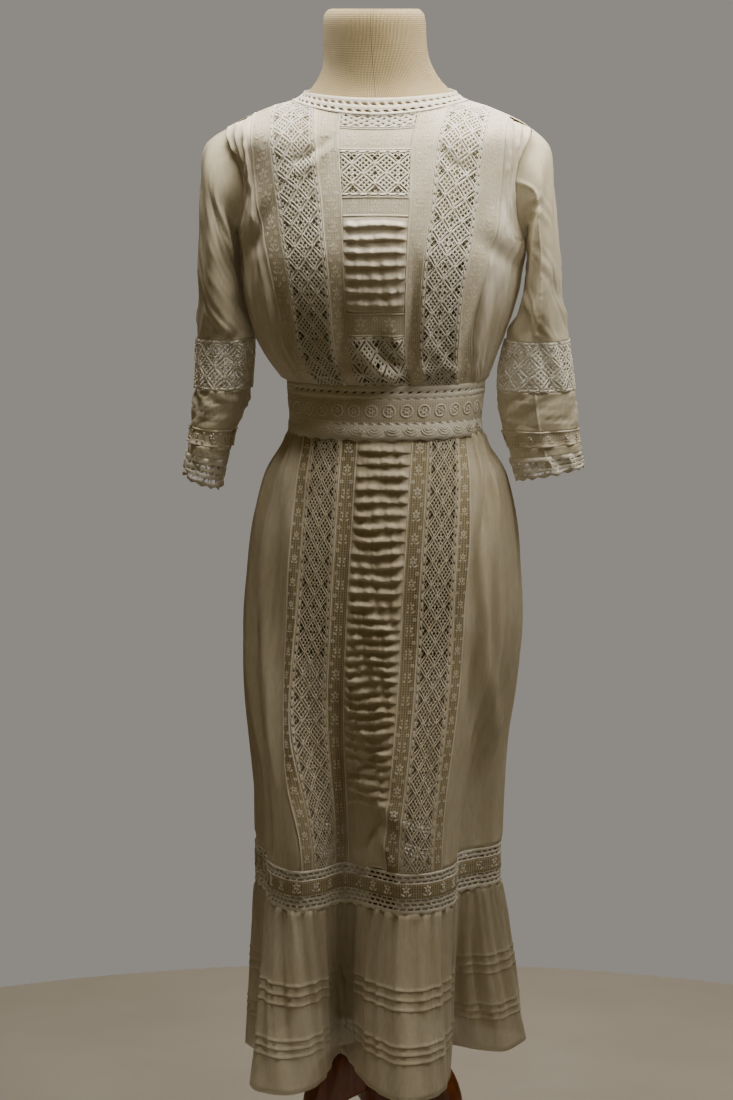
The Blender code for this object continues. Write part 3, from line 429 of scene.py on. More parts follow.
def closed_spline(points: Sequence[Row], samples: int) -> list[Row]:
    """Read a smooth closed curve through points, evenly in its own parameter."""
    count = len(points)
    result = []
    for index in range(samples + 1):
        position = index / samples * count
        row = int(position) % count
        picks = [points[(row + step) % count] for step in (-1, 0, 1, 2)]
        result.append(tuple(hermite(*column, position - int(position)) for column in zip(*picks)))
    return result


def travelled(points: Sequence[Sequence[float]]) -> list[float]:
    """The level distance walked along a line of points, at each of them."""
    total = [0.0]
    for start, end in zip(points, points[1:]):
        total.append(total[-1] + math.dist(start[:2], end[:2]))
    return total


def by_share(points: Sequence[Sequence[float]], share: float) -> list[float]:
    """The point at a share of the distance along a line of points."""
    total = travelled(points)
    return straight(points, row_place(total, share * total[-1]))


class SkirtForm:
    """The skirt's surface: level rings that turn into the standing folds of the flounce."""

    def __init__(self) -> None:
        """Work out the folds once, half the ring at a time, so that the centre back stays in its fold."""
        rows = [numbers(fold) for fold in FOLDS]
        line = closed_spline(rows, SPLINE_STEPS * len(rows))
        middle = CENTRE_BACK * SPLINE_STEPS
        half = RING_SAMPLES // 2
        left = [by_share(line[middle:], index / half) for index in range(half)]
        right = [by_share(line[:middle + 1], index / half) for index in range(half + 1)]
        self.folds = left + right
        self.rings = sorted(numbers(ring) for ring in SKIRT_RINGS)
        self.cache: dict[float, tuple[list[Row], list[float]]] = {}

    def row(self, height: float) -> Row:
        """The table of the skirt's rings, read at a height."""
        return read_rows(self.rings, row_place([ring[0] for ring in self.rings], height))

    def upper(self, height: float) -> list[Point]:
        """The smooth ring that the skirt has above its folds, from centre back to centre back."""
        _, half_width, front, back, shift, centre = self.row(height)
        start = math.degrees(math.asin((centre - shift) / half_width))
        points = []
        for index in range(RING_SAMPLES + 1):
            share = -1 + 2 * index / RING_SAMPLES
            turn = 180 - start if share >= 0 else 180 + start
            points.append(oval(start + turn * share, half_width, front, back, shift))
        return points

    def ring(self, height: float) -> tuple[list[Row], list[float]]:
        """The skirt's plan at a height, and the distance round it at each sample.

        Args:
            height: the height above the floor in metres.

        Returns:
            The ring's points from centre back through centre front to centre back, and for each
            its distance from the centre front, positive on the wearer's left.
        """
        height = round(height, 5)
        if height not in self.cache:
            fold_share = ease((FOLDS_START - height) / (FOLDS_START - KNEE_TOP))
            flare = min(max((KNEE_BOTTOM - height) / (KNEE_BOTTOM - HEM), 0.0), 1.0)
            line = []
            upper = self.upper(max(height, KNEE_TOP))
            for (x, y), (knee_x, knee_y, hem_x, hem_y, lift) in zip(upper, self.folds):
                x += (knee_x - x) * fold_share + (hem_x - knee_x) * flare
                y += (knee_y - y) * fold_share + (hem_y - knee_y) * flare
                line.append((x, y, height + lift * flare * flare))
            total = travelled(line)
            centre = total[RING_SAMPLES // 2]
            self.cache[height] = (line, [value - centre for value in total])
        return self.cache[height]

    def point(self, distance: float, height: float) -> Vector:
        """A point of the skirt at a distance round it from the centre front."""
        line, total = self.ring(height)
        return Vector(straight(line, row_place(total, distance)))

    def reach(self, height: float, side: int) -> float:
        """The distance from the centre front to the centre back on one side."""
        total = self.ring(height)[1]
        return abs(total[-1] if side > 0 else total[0])


SKIRT = SkirtForm()


def evened(points: Grid, axis: int) -> Grid:
    """Space a grid's lines evenly along one of its axes, by their mean distance."""
    if axis == 1:
        return evened(points.swapaxes(0, 1), 0).swapaxes(0, 1)
    steps = np.linalg.norm(np.diff(points, axis=0), axis=2).mean(axis=1)
    walked = np.concatenate([[0.0], np.cumsum(steps)])
    goals = np.linspace(0.0, walked[-1], len(walked))
    low = np.clip(np.searchsorted(walked, goals, side="right") - 1, 0, len(walked) - 2)
    share = ((goals - walked[low]) / (walked[low + 1] - walked[low]))[:, None, None]
    return points[low] * (1 - share) + points[low + 1] * share


class Patch:
    """A stretch of the garment's surface, sampled evenly, that flat cloth is laid on.

    u runs anticlockwise seen from above, which is to the right at the front, and v runs up.
    """

    def __init__(self, place: Callable[[float, float], Vector], across: int, along: int,
                 closed: bool = False, drape: Callable[[Grid], Grid] | None = None) -> None:
        """Sample the surface.

        Args:
            place: gives the surface's point at shares of its width and of its length.
            across: how many steps to sample across.
            along: how many steps to sample along.
            closed: whether the patch goes all the way round.
            drape: gives how far the creases lift the surface at its points.
        """
        self.closed = closed
        points = np.array([[tuple(place(i / across, j / along)) for i in range(across + 1)]
                           for j in range(along + 1)])
        self.points = evened(evened(points, 0), 1)
        self.normals = self.outward()
        if drape is not None:
            self.points = self.points + self.normals * drape(self.points)[..., None]
            self.normals = self.outward()
        rows = np.linalg.norm(np.diff(self.points, axis=1), axis=2).sum(axis=1)
        columns = np.linalg.norm(np.diff(self.points, axis=0), axis=2).sum(axis=0)
        self.width, self.widest = float(rows.mean()), float(rows.max())
        self.length, self.longest = float(columns.mean()), float(columns.max())
        corner = np.cross(np.diff(self.points[:-1], axis=1), np.diff(self.points[:, :-1], axis=0))
        self.area = float(np.linalg.norm(corner, axis=2).sum())

    def outward(self) -> Grid:
        """The surface's outward normals at its sample points."""
        over = np.gradient(self.points, axis=1)
        up = np.gradient(self.points, axis=0)
        if self.closed:
            over[:, 0] = over[:, -1] = self.points[:, 1] - self.points[:, -2]
        out = np.cross(over, up)
        return out / np.maximum(np.linalg.norm(out, axis=2, keepdims=True), 1e-12)

    def lay(self, flat: Grid) -> Grid:
        """Carry flat points, with their lift in the third column, onto the surface."""
        rows, columns = self.points.shape[0] - 1, self.points.shape[1] - 1
        share = flat[:, 0] / self.width
        if self.closed:
            share = np.mod(share, 1.0)
        place_u = np.clip(share, 0, 1) * columns
        place_v = np.clip(flat[:, 1] / self.length, 0, 1) * rows
        u_low = np.minimum(place_u.astype(int), columns - 1)
        v_low = np.minimum(place_v.astype(int), rows - 1)
        t_u = (place_u - u_low)[:, None]
        t_v = (place_v - v_low)[:, None]

        def blend(values: Grid) -> Grid:
            low = values[v_low, u_low] * (1 - t_u) + values[v_low, u_low + 1] * t_u
            high = values[v_low + 1, u_low] * (1 - t_u) + values[v_low + 1, u_low + 1] * t_u
            return low * (1 - t_v) + high * t_v

        out = blend(self.normals)
        out /= np.maximum(np.linalg.norm(out, axis=1, keepdims=True), 1e-12)
        beyond = np.maximum(flat[:, 1] - self.length, 0) + np.minimum(flat[:, 1], 0)
        drop = beyond[:, None] * np.array((0.0, 0.0, 1.0))
        return blend(self.points) + out * flat[:, 2:3] + drop


def bell(offset: Grid, width: float) -> Grid:
    """A round ridge: 1 where there is no offset, and almost nothing at twice a width."""
    return np.exp(-(offset / width) ** 2)


def cords(v: Grid, places: Iterable[float], width: float) -> Grid:
    """Round cords that stand up at some places."""
    return sum(bell(v - place, width) for place in places)


def inset(place: Grid, whole: float, reach: float, low: float = 0.0) -> Grid:
    """Rise from a low value at both ends of a whole to 1 at a reach inside them."""
    return np.clip(np.minimum(place, whole - place) / reach, low, 1)


def ripple(share: Grid, count: float, seed: float | Grid) -> Grid:
    """A smooth uneven wave between about -1 and 1, which meets itself after a whole turn.

    Args:
        share: places from 0 to 1.
        count: about how many waves there are between them.
        seed: tells one wave from another, and may change over the cloth.

    Returns:
        The wave's heights.
    """
    turn = 2 * math.pi * share
    return (np.sin(round(count) * turn + seed) + 0.6 * np.sin(round(count * 1.37) * turn + 2.3 * seed)
            + 0.5 * np.sin(round(count * 0.63) * turn + 5.1 * seed)) / 1.7


@dataclass(frozen=True)
class Crease:
    """A soft ridge, or a trough where its height is negative, placed one by one as seen from the front.

    Its turn leans its upper end towards +X, and side is -1 on the front and 1 on the back.
    """

    x: float
    z: float
    length: float
    turn: float
    width: float
    height: float
    side: int = -1


BODICE_CREASES = (
    Crease(0.041, 1.118, 0.190, 2, 0.0065, -0.0063),
    Crease(0.053, 1.105, 0.140, 3, 0.0060, 0.0032),
    Crease(-0.036, 1.098, 0.130, -3, 0.0060, -0.0037),
    Crease(-0.050, 1.090, 0.100, -5, 0.0060, 0.0025),
    Crease(0.095, 1.092, 0.110, 9, 0.0050, 0.0032),
    Crease(0.106, 1.098, 0.120, 12, 0.0045, -0.0042),
    Crease(0.116, 1.102, 0.130, 14, 0.0050, 0.0037),
    Crease(0.127, 1.108, 0.120, 16, 0.0045, -0.0037),
    Crease(-0.094, 1.090, 0.110, -9, 0.0050, 0.0035),
    Crease(-0.105, 1.100, 0.130, -12, 0.0045, -0.0042),
    Crease(-0.117, 1.104, 0.120, -14, 0.0050, 0.0035),
    Crease(-0.129, 1.110, 0.110, -16, 0.0045, -0.0035),
    Crease(0.150, 1.214, 0.085, -30, 0.0120, 0.0050),
    Crease(0.138, 1.194, 0.085, -36, 0.0085, -0.0034),
    Crease(-0.150, 1.236, 0.085, 36, 0.0120, 0.0046),
    Crease(-0.138, 1.220, 0.085, 34, 0.0085, -0.0030),
    Crease(-0.074, 1.313, 0.075, 64, 0.0042, -0.0045),
    Crease(-0.070, 1.302, 0.070, 60, 0.0050, 0.0028),
    Crease(0.090, 1.300, 0.060, -62, 0.0050, -0.0028),
    Crease(0.005, 1.058, 0.230, 90, 0.0075, 0.0045),
    Crease(0.002, 1.068, 0.090, -41, 0.0060, 0.0078),
    Crease(0.017, 1.080, 0.075, -38, 0.0065, -0.0068),
    Crease(-0.014, 1.060, 0.060, -44, 0.0045, -0.0036),
    Crease(0.026, 1.094, 0.055, -30, 0.0050, 0.0032),
    Crease(-0.070, 1.074, 0.060, 30, 0.0050, 0.0030),
    Crease(0.076, 1.072, 0.060, -28, 0.0050, 0.0030),
    Crease(-0.030, 1.100, 0.150, -8, 0.0080, -0.0042, 1),
    Crease(0.045, 1.095, 0.140, 6, 0.0080, 0.0042, 1),
    Crease(0.080, 1.110, 0.150, 12, 0.0060, -0.0040, 1),
    Crease(-0.085, 1.105, 0.150, -12, 0.0060, 0.0040, 1),
    Crease(0.110, 1.210, 0.090, -40, 0.0080, 0.0037, 1),
    Crease(-0.105, 1.215, 0.090, 38, 0.0080, -0.0032, 1),
    Crease(0.000, 1.057, 0.220, 90, 0.0075, 0.0040, 1),
)
SKIRT_CREASES = (
    Crease(0.036, 0.765, 0.440, 0, 0.0070, -0.0045),
    Crease(-0.038, 0.780, 0.400, 0, 0.0070, -0.0035),
    Crease(-0.098, 0.700, 0.520, -2, 0.0080, 0.0051),
    Crease(-0.112, 0.690, 0.500, -2, 0.0060, -0.0060),
    Crease(-0.126, 0.720, 0.420, -3, 0.0070, 0.0054),
    Crease(-0.138, 0.680, 0.400, -2, 0.0060, -0.0051),
    Crease(0.106, 0.860, 0.230, 4, 0.0060, 0.0045),
    Crease(0.117, 0.865, 0.220, 6, 0.0050, -0.0063),
    Crease(0.127, 0.845, 0.260, 5, 0.0060, 0.0051),
    Crease(0.112, 0.640, 0.240, -3, 0.0080, -0.0048),
    Crease(0.130, 0.660, 0.300, -2, 0.0070, 0.0051),
    Crease(0.060, 0.620, 0.200, 4, 0.0070, -0.0039),
    Crease(-0.068, 0.610, 0.220, -4, 0.0060, -0.0045),
    Crease(-0.056, 0.585, 0.180, -3, 0.0060, 0.0039),
    Crease(-0.012, 0.607, 0.090, 48, 0.0070, -0.0045),
    Crease(0.014, 0.560, 0.080, -40, 0.0070, 0.0045),
    Crease(-0.006, 0.525, 0.080, 30, 0.0065, -0.0051),
    Crease(0.018, 0.512, 0.070, -16, 0.0060, 0.0045),
    Crease(-0.060, 0.800, 0.300, -3, 0.0110, 0.0075, 1),
    Crease(-0.085, 0.780, 0.320, -4, 0.0090, -0.0075, 1),
    Crease(-0.030, 0.740, 0.400, -2, 0.0090, -0.0066, 1),
    Crease(0.050, 0.790, 0.320, 3, 0.0110, 0.0075, 1),
    Crease(0.080, 0.760, 0.340, 4, 0.0090, -0.0072, 1),
    Crease(0.108, 0.720, 0.300, 3, 0.0080, 0.0060, 1),
    Crease(-0.112, 0.700, 0.300, -3, 0.0080, 0.0060, 1),
)


def draped(creases: Sequence[Crease], points: Grid, low: float, high: float) -> Grid:
    """How far creases lift a surface, fading out at two heights and round the sides.

    Args:
        creases: the creases.
        points: the surface's points.
        low: the height below which nothing is lifted.
        high: the height above which nothing is lifted.

    Returns:
        The lift at each point in metres.
    """
    x, y, z = points[..., 0], points[..., 1], points[..., 2]
    lift = np.zeros_like(x)
    for crease in creases:
        sine = math.sin(math.radians(crease.turn))
        cosine = math.cos(math.radians(crease.turn))
        along = (z - crease.z) * cosine + (x - crease.x) * sine
        aside = (x - crease.x) * cosine - (z - crease.z) * sine
        bend = crease.width * 0.5 * np.sin(along / crease.length * 5 + crease.x * 90)
        fade = np.clip(1 - (2 * along / crease.length) ** 2, 0, 1) ** 1.3
        facing = np.clip(y * crease.side / 0.030, 0, 1)
        lift += crease.height * fade * facing * bell(aside + bend, crease.width)
    return lift * np.clip(np.minimum(z - low, high - z) / 0.010, 0, 1)


def even(start: float, end: float, step: float) -> list[float]:
    """Even places from start to end, no further apart than a step."""
    count = max(1, math.ceil(abs(end - start) / step))
    return [start + (end - start) * index / count for index in range(count + 1)]


def cut(across: Sequence[float], rows: Sequence[Point]) -> Form:
    """Cut cloth flat: a grid with its lines where they are wanted.

    Args:
        across: the places of its lines across.
        rows: the place along and the lift of each row; a row may lie back over the one before.

    Returns:
        The flat cloth, with its good side up.
    """
    form = bmesh.new()
    columns, lines = len(across) - 1, len(rows) - 1
    bmesh.ops.create_grid(form, x_segments=columns, y_segments=lines, size=0.5)
    for vert in form.verts:
        place, lift = rows[round((vert.co.y + 0.5) * lines)]
        vert.co = (across[round((vert.co.x + 0.5) * columns)], place, lift)
    return form


def plain_cut(patch: Patch, across: float, along: float) -> Form:
    """Cut plain cloth for a whole patch, with a grid of these steps."""
    return cut(even(0.0, patch.width, across), [(place, 0.0) for place in even(0.0, patch.length, along)])


def pierce(form: Form, faces: Sequence[bmesh.types.BMFace], frame: float, drop: float) -> None:
    """Cut a hole in each face, leaving a frame of thread whose inner edge lies lower."""
    bmesh.ops.inset_individual(form, faces=list(faces), thickness=frame, depth=-drop, use_even_offset=True)
    bmesh.ops.delete(form, geom=list(faces), context="FACES")


def join(form: Form, other: Form, finish: int = 0, lift: float = 0.0) -> None:
    """Add one flat form to another.

    Args:
        form: the form that grows.
        other: the form that is added, and freed.
        finish: the material index of what is added.
        lift: how far above the first form it lies.
    """
    for face in other.faces:
        face.material_index = finish
    for vert in other.verts:
        vert.co.z += lift
    mesh = mesh_of("joined", other)
    form.from_mesh(mesh)
    bpy.data.meshes.remove(mesh)


def mesh_of(name: str, form: Form) -> bpy.types.Mesh:
    """Turn a form, which is freed, into a mesh."""
    mesh = bpy.data.meshes.new(name)
    form.to_mesh(mesh)
    form.free()
    return mesh


@dataclass(frozen=True)
class OpenRow:
    """A row of holes across a band: from and to along it, and how far its holes slant and shift."""

    low: float
    high: float
    slant: float = 0.0
    shift: float = 0.0


def open_band(patch: Patch, pitch: float, rows: Sequence[OpenRow], frame: float,
              scallop: float = 0.0) -> Form:
    """A band of openwork, with rows of holes between solid threads.

    Args:
        patch: what it covers, its length running up.
        pitch: the spacing of its holes.
        rows: its rows of holes, from the bottom up.
        frame: half the thread between two holes.
        scallop: how far its lower edge is scalloped, for each two holes.

    Returns:
        The flat band.
    """
    count = max(2, round(patch.width / pitch))
    lines, open_from = [(0.0, 0.0)], set()
    for row in (*rows, OpenRow(patch.length, patch.length)):
        start, before = lines[-1]
        for place in even(start, row.low, GRID_STEP)[1:]:
            share = (place - start) / (row.low - start)
            lines.append((place, before + (row.shift - before) * share))
        if row.high > row.low:
            open_from.add(len(lines) - 1)
            lines.append((row.high, row.shift + row.slant))
    form = bmesh.new()
    steps = len(lines) - 1
    bmesh.ops.create_grid(form, x_segments=count, y_segments=steps, size=0.5)
    holes = [face for face in form.faces if int((face.calc_center_median().y + 0.5) * steps) in open_from]
    for vert in form.verts:
        column = round((vert.co.x + 0.5) * count)
        place, shift = lines[round((vert.co.y + 0.5) * steps)]
        if place == 0.0 and scallop:
            place -= scallop * abs(math.sin(math.pi * column / 2))
        vert.co = ((column + shift) * patch.width / count, place, 0.0)
    pierce(form, holes, frame, frame * 0.5)
    return form


def bent_strip(centre: Point, radius: float, start: float, end: float, width: float, steps: int) -> Form:
    """A narrow flat strip bent round part of a circle, or round all of it.

    Args:
        centre: the circle's centre on the flat cloth.
        radius: its radius to the strip's middle.
        start: where it starts, in degrees.
        end: where it ends.
        width: the strip's width.
        steps: how many faces it has.

    Returns:
        The strip.
    """
    form = bmesh.new()
    bmesh.ops.create_grid(form, x_segments=steps, y_segments=1, size=0.5)
    for vert in form.verts:
        angle = math.radians(end + (start - end) * (vert.co.x + 0.5))
        reach = radius + vert.co.y * width
        vert.co = (centre[0] + reach * math.cos(angle), centre[1] + reach * math.sin(angle), 0.0)
    if abs(end - start) >= 360:
        bmesh.ops.remove_doubles(form, verts=form.verts, dist=1e-6)
    return form


def petal(form: Form, centre: Point, half_length: float, half_width: float, turn: float) -> None:
    """Add one darned petal or leaf, an oval of solid thread, to a flat form."""
    place = (Matrix.Translation((*centre, 0.0)) @ Matrix.Rotation(math.radians(turn), 4, "Z")
             @ Matrix.Diagonal((half_length, half_width, 1.0, 1.0)))
    bmesh.ops.create_circle(form, cap_ends=True, segments=8, radius=1.0, matrix=place)


def flower(size: float) -> Form:
    """A small darned flower of five petals with two leaves on a stem, centred on the origin."""
    form = bmesh.new()
    for index in range(5):
        turn = 90 + 360 * index / 5
        out, up = math.cos(math.radians(turn)), math.sin(math.radians(turn))
        petal(form, (size * 0.20 * out, size * 0.16 + size * 0.20 * up), size * 0.135, size * 0.085, turn)
    for side in (-1, 1):
        petal(form, (side * size * 0.24, -size * 0.30), size * 0.17, size * 0.075, side * 32)
    join(form, bent_strip((-size * 0.30, -size * 0.16), size * 0.32, -35, 20, size * 0.05, 4))
    return form


def wheel_flower(size: float) -> Form:
    """A ring with a small flower in it, centred on the origin."""
    form = bent_strip((0.0, 0.0), size * 0.43, 0, 360, size * 0.13, 18)
    for index in range(6):
        out, up = math.cos(math.radians(60 * index)), math.sin(math.radians(60 * index))
        petal(form, (size * 0.17 * out, size * 0.17 * up), size * 0.115, size * 0.06, 60 * index)
    return form


def scatter(form: Form, motif: Callable[[], Form], places: Iterable[Point], lift: float,
            turn: float = 0.0) -> None:
    """Repeat a motif of solid thread over flat lace.

    Args:
        form: the lace.
        motif: makes one motif, centred on the origin.
        places: where the motifs stand.
        lift: how far they stand above the net.
        turn: how far each is turned, in degrees.
    """
    for place in places:
        one = motif()
        one.transform(Matrix.Translation((*place, 0.0)) @ Matrix.Rotation(math.radians(turn), 4, "Z"))
        join(form, one, SOLID, lift)


class Way(Enum):
    """Which way a lace runs on its patch."""

    UP = "its length runs up the patch"
    ACROSS = "its length runs across the patch"


NET, SOLID = 0, 1
GRID_STEP = 0.006
CORDED_EDGE = 0.0021
CORD_HEIGHT = 0.0007
DARNING_LIFT = 0.00012


def spaced(length: float, spacing: float, height: float) -> list[Point]:
    """The middles of repeats about a spacing apart, in a row at one height."""
    count = max(1, round(length / spacing))
    return [((index + 0.5) * length / count, height) for index in range(count)]


def mark_net(form: Form, low: float, high: float) -> None:
    """Give a flat form's faces between two heights the net, and the others solid thread."""
    for face in form.faces:
        face.material_index = NET if low < face.calc_center_median().y < high else SOLID


def flower_lace(patch: Patch, way: Way, repeat: float = 0.027) -> Form:
    """Narrow net lace with corded edges and a row of darned flowers.

    Args:
        patch: what it covers.
        way: which way the row of flowers runs.
        repeat: the spacing of its flowers.

    Returns:
        The flat lace: net, and on it solid thread.
    """
    narrow, long = (patch.width, patch.length) if way is Way.UP else (patch.length, patch.width)
    edge = CORDED_EDGE
    cord = [(0.0, 0.0), (0.3 * edge, CORD_HEIGHT), (0.7 * edge, CORD_HEIGHT), (edge, 0.0)]
    lines = cord + [(place, 0.0) for place in even(edge, narrow - edge, GRID_STEP)[1:-1]]
    lines += [(narrow - place, lift) for place, lift in reversed(cord)]
    form = cut(even(0.0, long, 0.008), lines)
    mark_net(form, edge, narrow - edge)
    size = min(narrow - 2 * edge, repeat) * 0.86
    spots = spaced(long, repeat, narrow / 2)
    turn = -90.0 if way is Way.UP else 0.0
    scatter(form, lambda: flower(size), spots, DARNING_LIFT, turn)
    for side in (-1, 1):
        height = narrow / 2 + side * narrow * 0.26
        rings = [(index * long / len(spots), height) for index in range(1, len(spots))]
        scatter(form, lambda: bent_strip((0.0, 0.0), narrow * 0.075, 0, 360, narrow * 0.06, 8), rings,
                DARNING_LIFT)
    return turned(form) if way is Way.UP else form


def turned(form: Form) -> Form:
    """Turn a flat form that runs across so that it runs up, with its good side still up."""
    form.transform(Matrix(((0, 1, 0, 0), (1, 0, 0, 0), (0, 0, 1, 0), (0, 0, 0, 1))))
    bmesh.ops.reverse_faces(form, faces=form.faces[:])
    return form


class Part(Enum):
    """What a place across the lattice falls on."""

    SLOT = "the slot between a braid's two threads"
    BRAID = "a braid's thread"
    HOLE = "the field of holes between two braids"


@dataclass(frozen=True)
class Trellis:
    """Wide braided lace: double braids crossing in lozenges, each a square of small holes.

    Two columns of lozenges stand between half lozenges at its edges and spiders down its middle.
    """

    repeat: float = 0.0275
    braid: float = 0.24
    slot: float = 0.075
    holes: int = 3
    thread: float = 0.0009
    foot: float = 0.0032
    foot_pitch: float = 0.0106

    def lines(self, last: int) -> list[float]:
        """The lattice's line places, in lozenges from -1: braid edges, and threads between them."""
        places = []
        for lozenge in range(-1, last + 1):
            inner = 1 - self.braid
            places += [lozenge - self.slot / 2, lozenge + self.slot / 2]
            places += [lozenge + self.braid / 2 + inner * step / self.holes for step in range(self.holes + 1)]
        return places

    def part(self, place: float) -> Part:
        """What a place falls on, in lozenges."""
        off_line = min(place % 1, 1 - place % 1)
        if off_line < self.slot / 2:
            return Part.SLOT
        return Part.BRAID if off_line < self.braid / 2 else Part.HOLE

    def frame(self, s: float, t: float) -> float | None:
        """The width of thread round a hole of the lattice, or nothing where it is fully open.

        Args:
            s: the hole's place on one diagonal, in lozenges.
            t: its place on the other.

        Returns:
            The width, or None.
        """
        column = math.floor(s) - math.floor(t)
        inner = 1 - self.braid
        row_s, row_t = (int((place % 1 - self.braid / 2) / inner * self.holes) for place in (s, t))
        last, middle = self.holes - 1, self.holes // 2
        if abs(column) == 2:
            corner = (0, last) if column > 0 else (last, 0)
            reach = abs(row_s - corner[0]) + abs(row_t - corner[1])
            return (None, self.thread * 0.6, self.thread * 1.4)[min(reach, 2)]
        if column == 0 and self.holes > 2:
            star = (math.floor(s) + math.floor(t)) % 4 == 0
            aside = abs(row_s - middle) + abs(row_t - middle)
            if star:
                return (self.thread * 1.8, self.thread * 0.7, self.thread * 1.3)[aside]
            return (None, self.thread * 1.2, self.thread)[aside]
        return self.thread

    def weave(self, width: float, length: float) -> Form:
        """Make the lattice between two straight edges, its length running up.

        Args:
            width: the lace's width.
            length: its length.

        Returns:
            The flat lattice.
        """
        count = max(1, round(length / self.repeat))
        repeat = length / count
        places = self.lines(count + 1)
        form = bmesh.new()
        steps = len(places) - 1
        bmesh.ops.create_grid(form, x_segments=steps, y_segments=steps, size=0.5)
        diagonals = form.verts.layers.float_vector.new("diagonals")
        for vert in form.verts:
            s = places[round((vert.co.x + 0.5) * steps)]
            t = places[round((vert.co.y + 0.5) * steps)]
            vert[diagonals] = (s, t, 0.0)
            vert.co = (width / 2 * (1 + (s - t) / 2), (s + t) / 2 * repeat, 0.0)
        gone, framed = [], {}
        margin = repeat * 0.3
        for face in form.faces:
            s = sum(vert[diagonals].x for vert in face.verts) / 4
            t = sum(vert[diagonals].y for vert in face.verts) / 4
            centre = face.calc_center_median()
            kinds = {self.part(s), self.part(t)}
            if not (-margin < centre.x < width + margin and -margin < centre.y < length + margin):
                gone.append(face)
            elif kinds == {Part.SLOT, Part.HOLE}:
                gone.append(face)
            elif kinds == {Part.HOLE}:
                frame = self.frame(s, t)
                if frame is None:
                    gone.append(face)
                else:
                    framed.setdefault(frame, []).append(face)
        bmesh.ops.delete(form, geom=gone, context="FACES")
        for frame, faces in framed.items():
            pierce(form, faces, frame, 0.0004)
        for place, out in (((0, 0, 0), (-1, 0, 0)), ((width, 0, 0), (1, 0, 0)),
                           ((0, 0, 0), (0, -1, 0)), ((0, length, 0), (0, 1, 0))):
            bmesh.ops.bisect_plane(form, geom=form.verts[:] + form.edges[:] + form.faces[:], dist=1e-6,
                                   plane_co=place, plane_no=out, clear_outer=True)
        loose = [vert for vert in form.verts if not vert.link_faces]
        bmesh.ops.delete(form, geom=loose, context="VERTS")
        return form

    def make(self, patch: Patch, way: Way) -> Form:
        """Make the whole lace, with a footing of oval holes along both edges.

        Args:
            patch: what it covers.
            way: which way it runs.

        Returns:
            The flat lace.
        """
        narrow, long = (patch.width, patch.length) if way is Way.UP else (patch.length, patch.width)
        form = self.weave(narrow - 2 * self.foot, long)
        form.transform(Matrix.Translation((self.foot, 0.0, 0.0)))
        count = max(1, round(long / self.foot_pitch))
        pitch = long / count
        solid = pitch * 0.55
        steps = [0.0]
        for index in range(count):
            steps += [index * pitch + solid, (index + 1) * pitch]
        for start in (0.0, narrow - self.foot):
            side = cut([start, start + self.foot], [(step, 0.0) for step in steps])
            holes = [face for face in side.faces if face.calc_center_median().y % pitch > solid]
            pierce(side, holes, self.foot * 0.26, 0.0002)
            join(form, side, NET, 0.0001)
        return form if way is Way.UP else turned(form)


# Finishes

# The numbers of the Mix node's share, its two colours and their mixture
SHARE, FIRST, SECOND, MIXED = 0, 6, 7, 2


def linear(hex_colour: str) -> tuple[float, float, float, float]:
    """Turn an sRGB hex colour into the linear one that shaders take."""
    parts = [int(hex_colour[index:index + 2], 16) / 255 for index in (1, 3, 5)]
    red, green, blue = (part / 12.92 if part <= 0.04045 else ((part + 0.055) / 1.055) ** 2.4
                        for part in parts)
    return red, green, blue, 1.0


@dataclass
class Nodes:
    """A node tree that is being filled."""

    tree: bpy.types.NodeTree

    def fill(self, node: bpy.types.Node, inputs: dict | Sequence) -> None:
        """Set or link a node's inputs.

        Args:
            node: the node.
            inputs: numbers, hex colours or other nodes' outputs, in order, or by name or number.
        """
        for key, value in inputs.items() if isinstance(inputs, dict) else enumerate(inputs):
            if isinstance(value, Socket):
                self.tree.links.new(value, node.inputs[key])
            else:
                node.inputs[key].default_value = linear(value) if isinstance(value, str) else value

    def add(self, kind: str, inputs: dict | Sequence = (), output: int | str = 0,
            **settings: object) -> Socket:
        """Add a node with its settings and links.

        Args:
            kind: the node's type.
            inputs: what its inputs take, as in fill.
            output: which of its outputs to give.
            **settings: the node's own settings.

        Returns:
            That output.
        """
        node = self.tree.nodes.new("ShaderNode" + kind)
        for name, value in settings.items():
            setattr(node, name, value)
        self.fill(node, inputs)
        return node.outputs[output]

    def cut_places(self, pitch: float) -> tuple[Socket, Socket]:
        """The flat cloth's own coordinates across and along, in units of a pitch."""
        place = self.add("Mapping", {"Vector": self.add("UVMap", uv_map=UV_NAME), "Scale": (1 / pitch,) * 3})
        split = self.add("SeparateXYZ", (place,)).node
        return split.outputs["X"], split.outputs["Y"]

    def cloud(self, size: float, stretch: Row = (1.0, 1.0, 1.0), detail: float = 3.0) -> Socket:
        """Soft uneven noise in object space, its patches about a size in metres."""
        scale = tuple(part / size for part in stretch)
        place = self.add("Mapping", {"Vector": self.add("TexCoord", output="Object"), "Scale": scale})
        return self.add("TexNoise", {"Vector": place, "Scale": 1.0, "Detail": detail})

    def waves(self, place: Socket, turns: float) -> Socket:
        """Even waves, with so many turns for each pitch."""
        angle = self.add("Math", (place, turns * 2 * math.pi), operation="MULTIPLY")
        return self.add("Math", (angle,), operation="SINE")


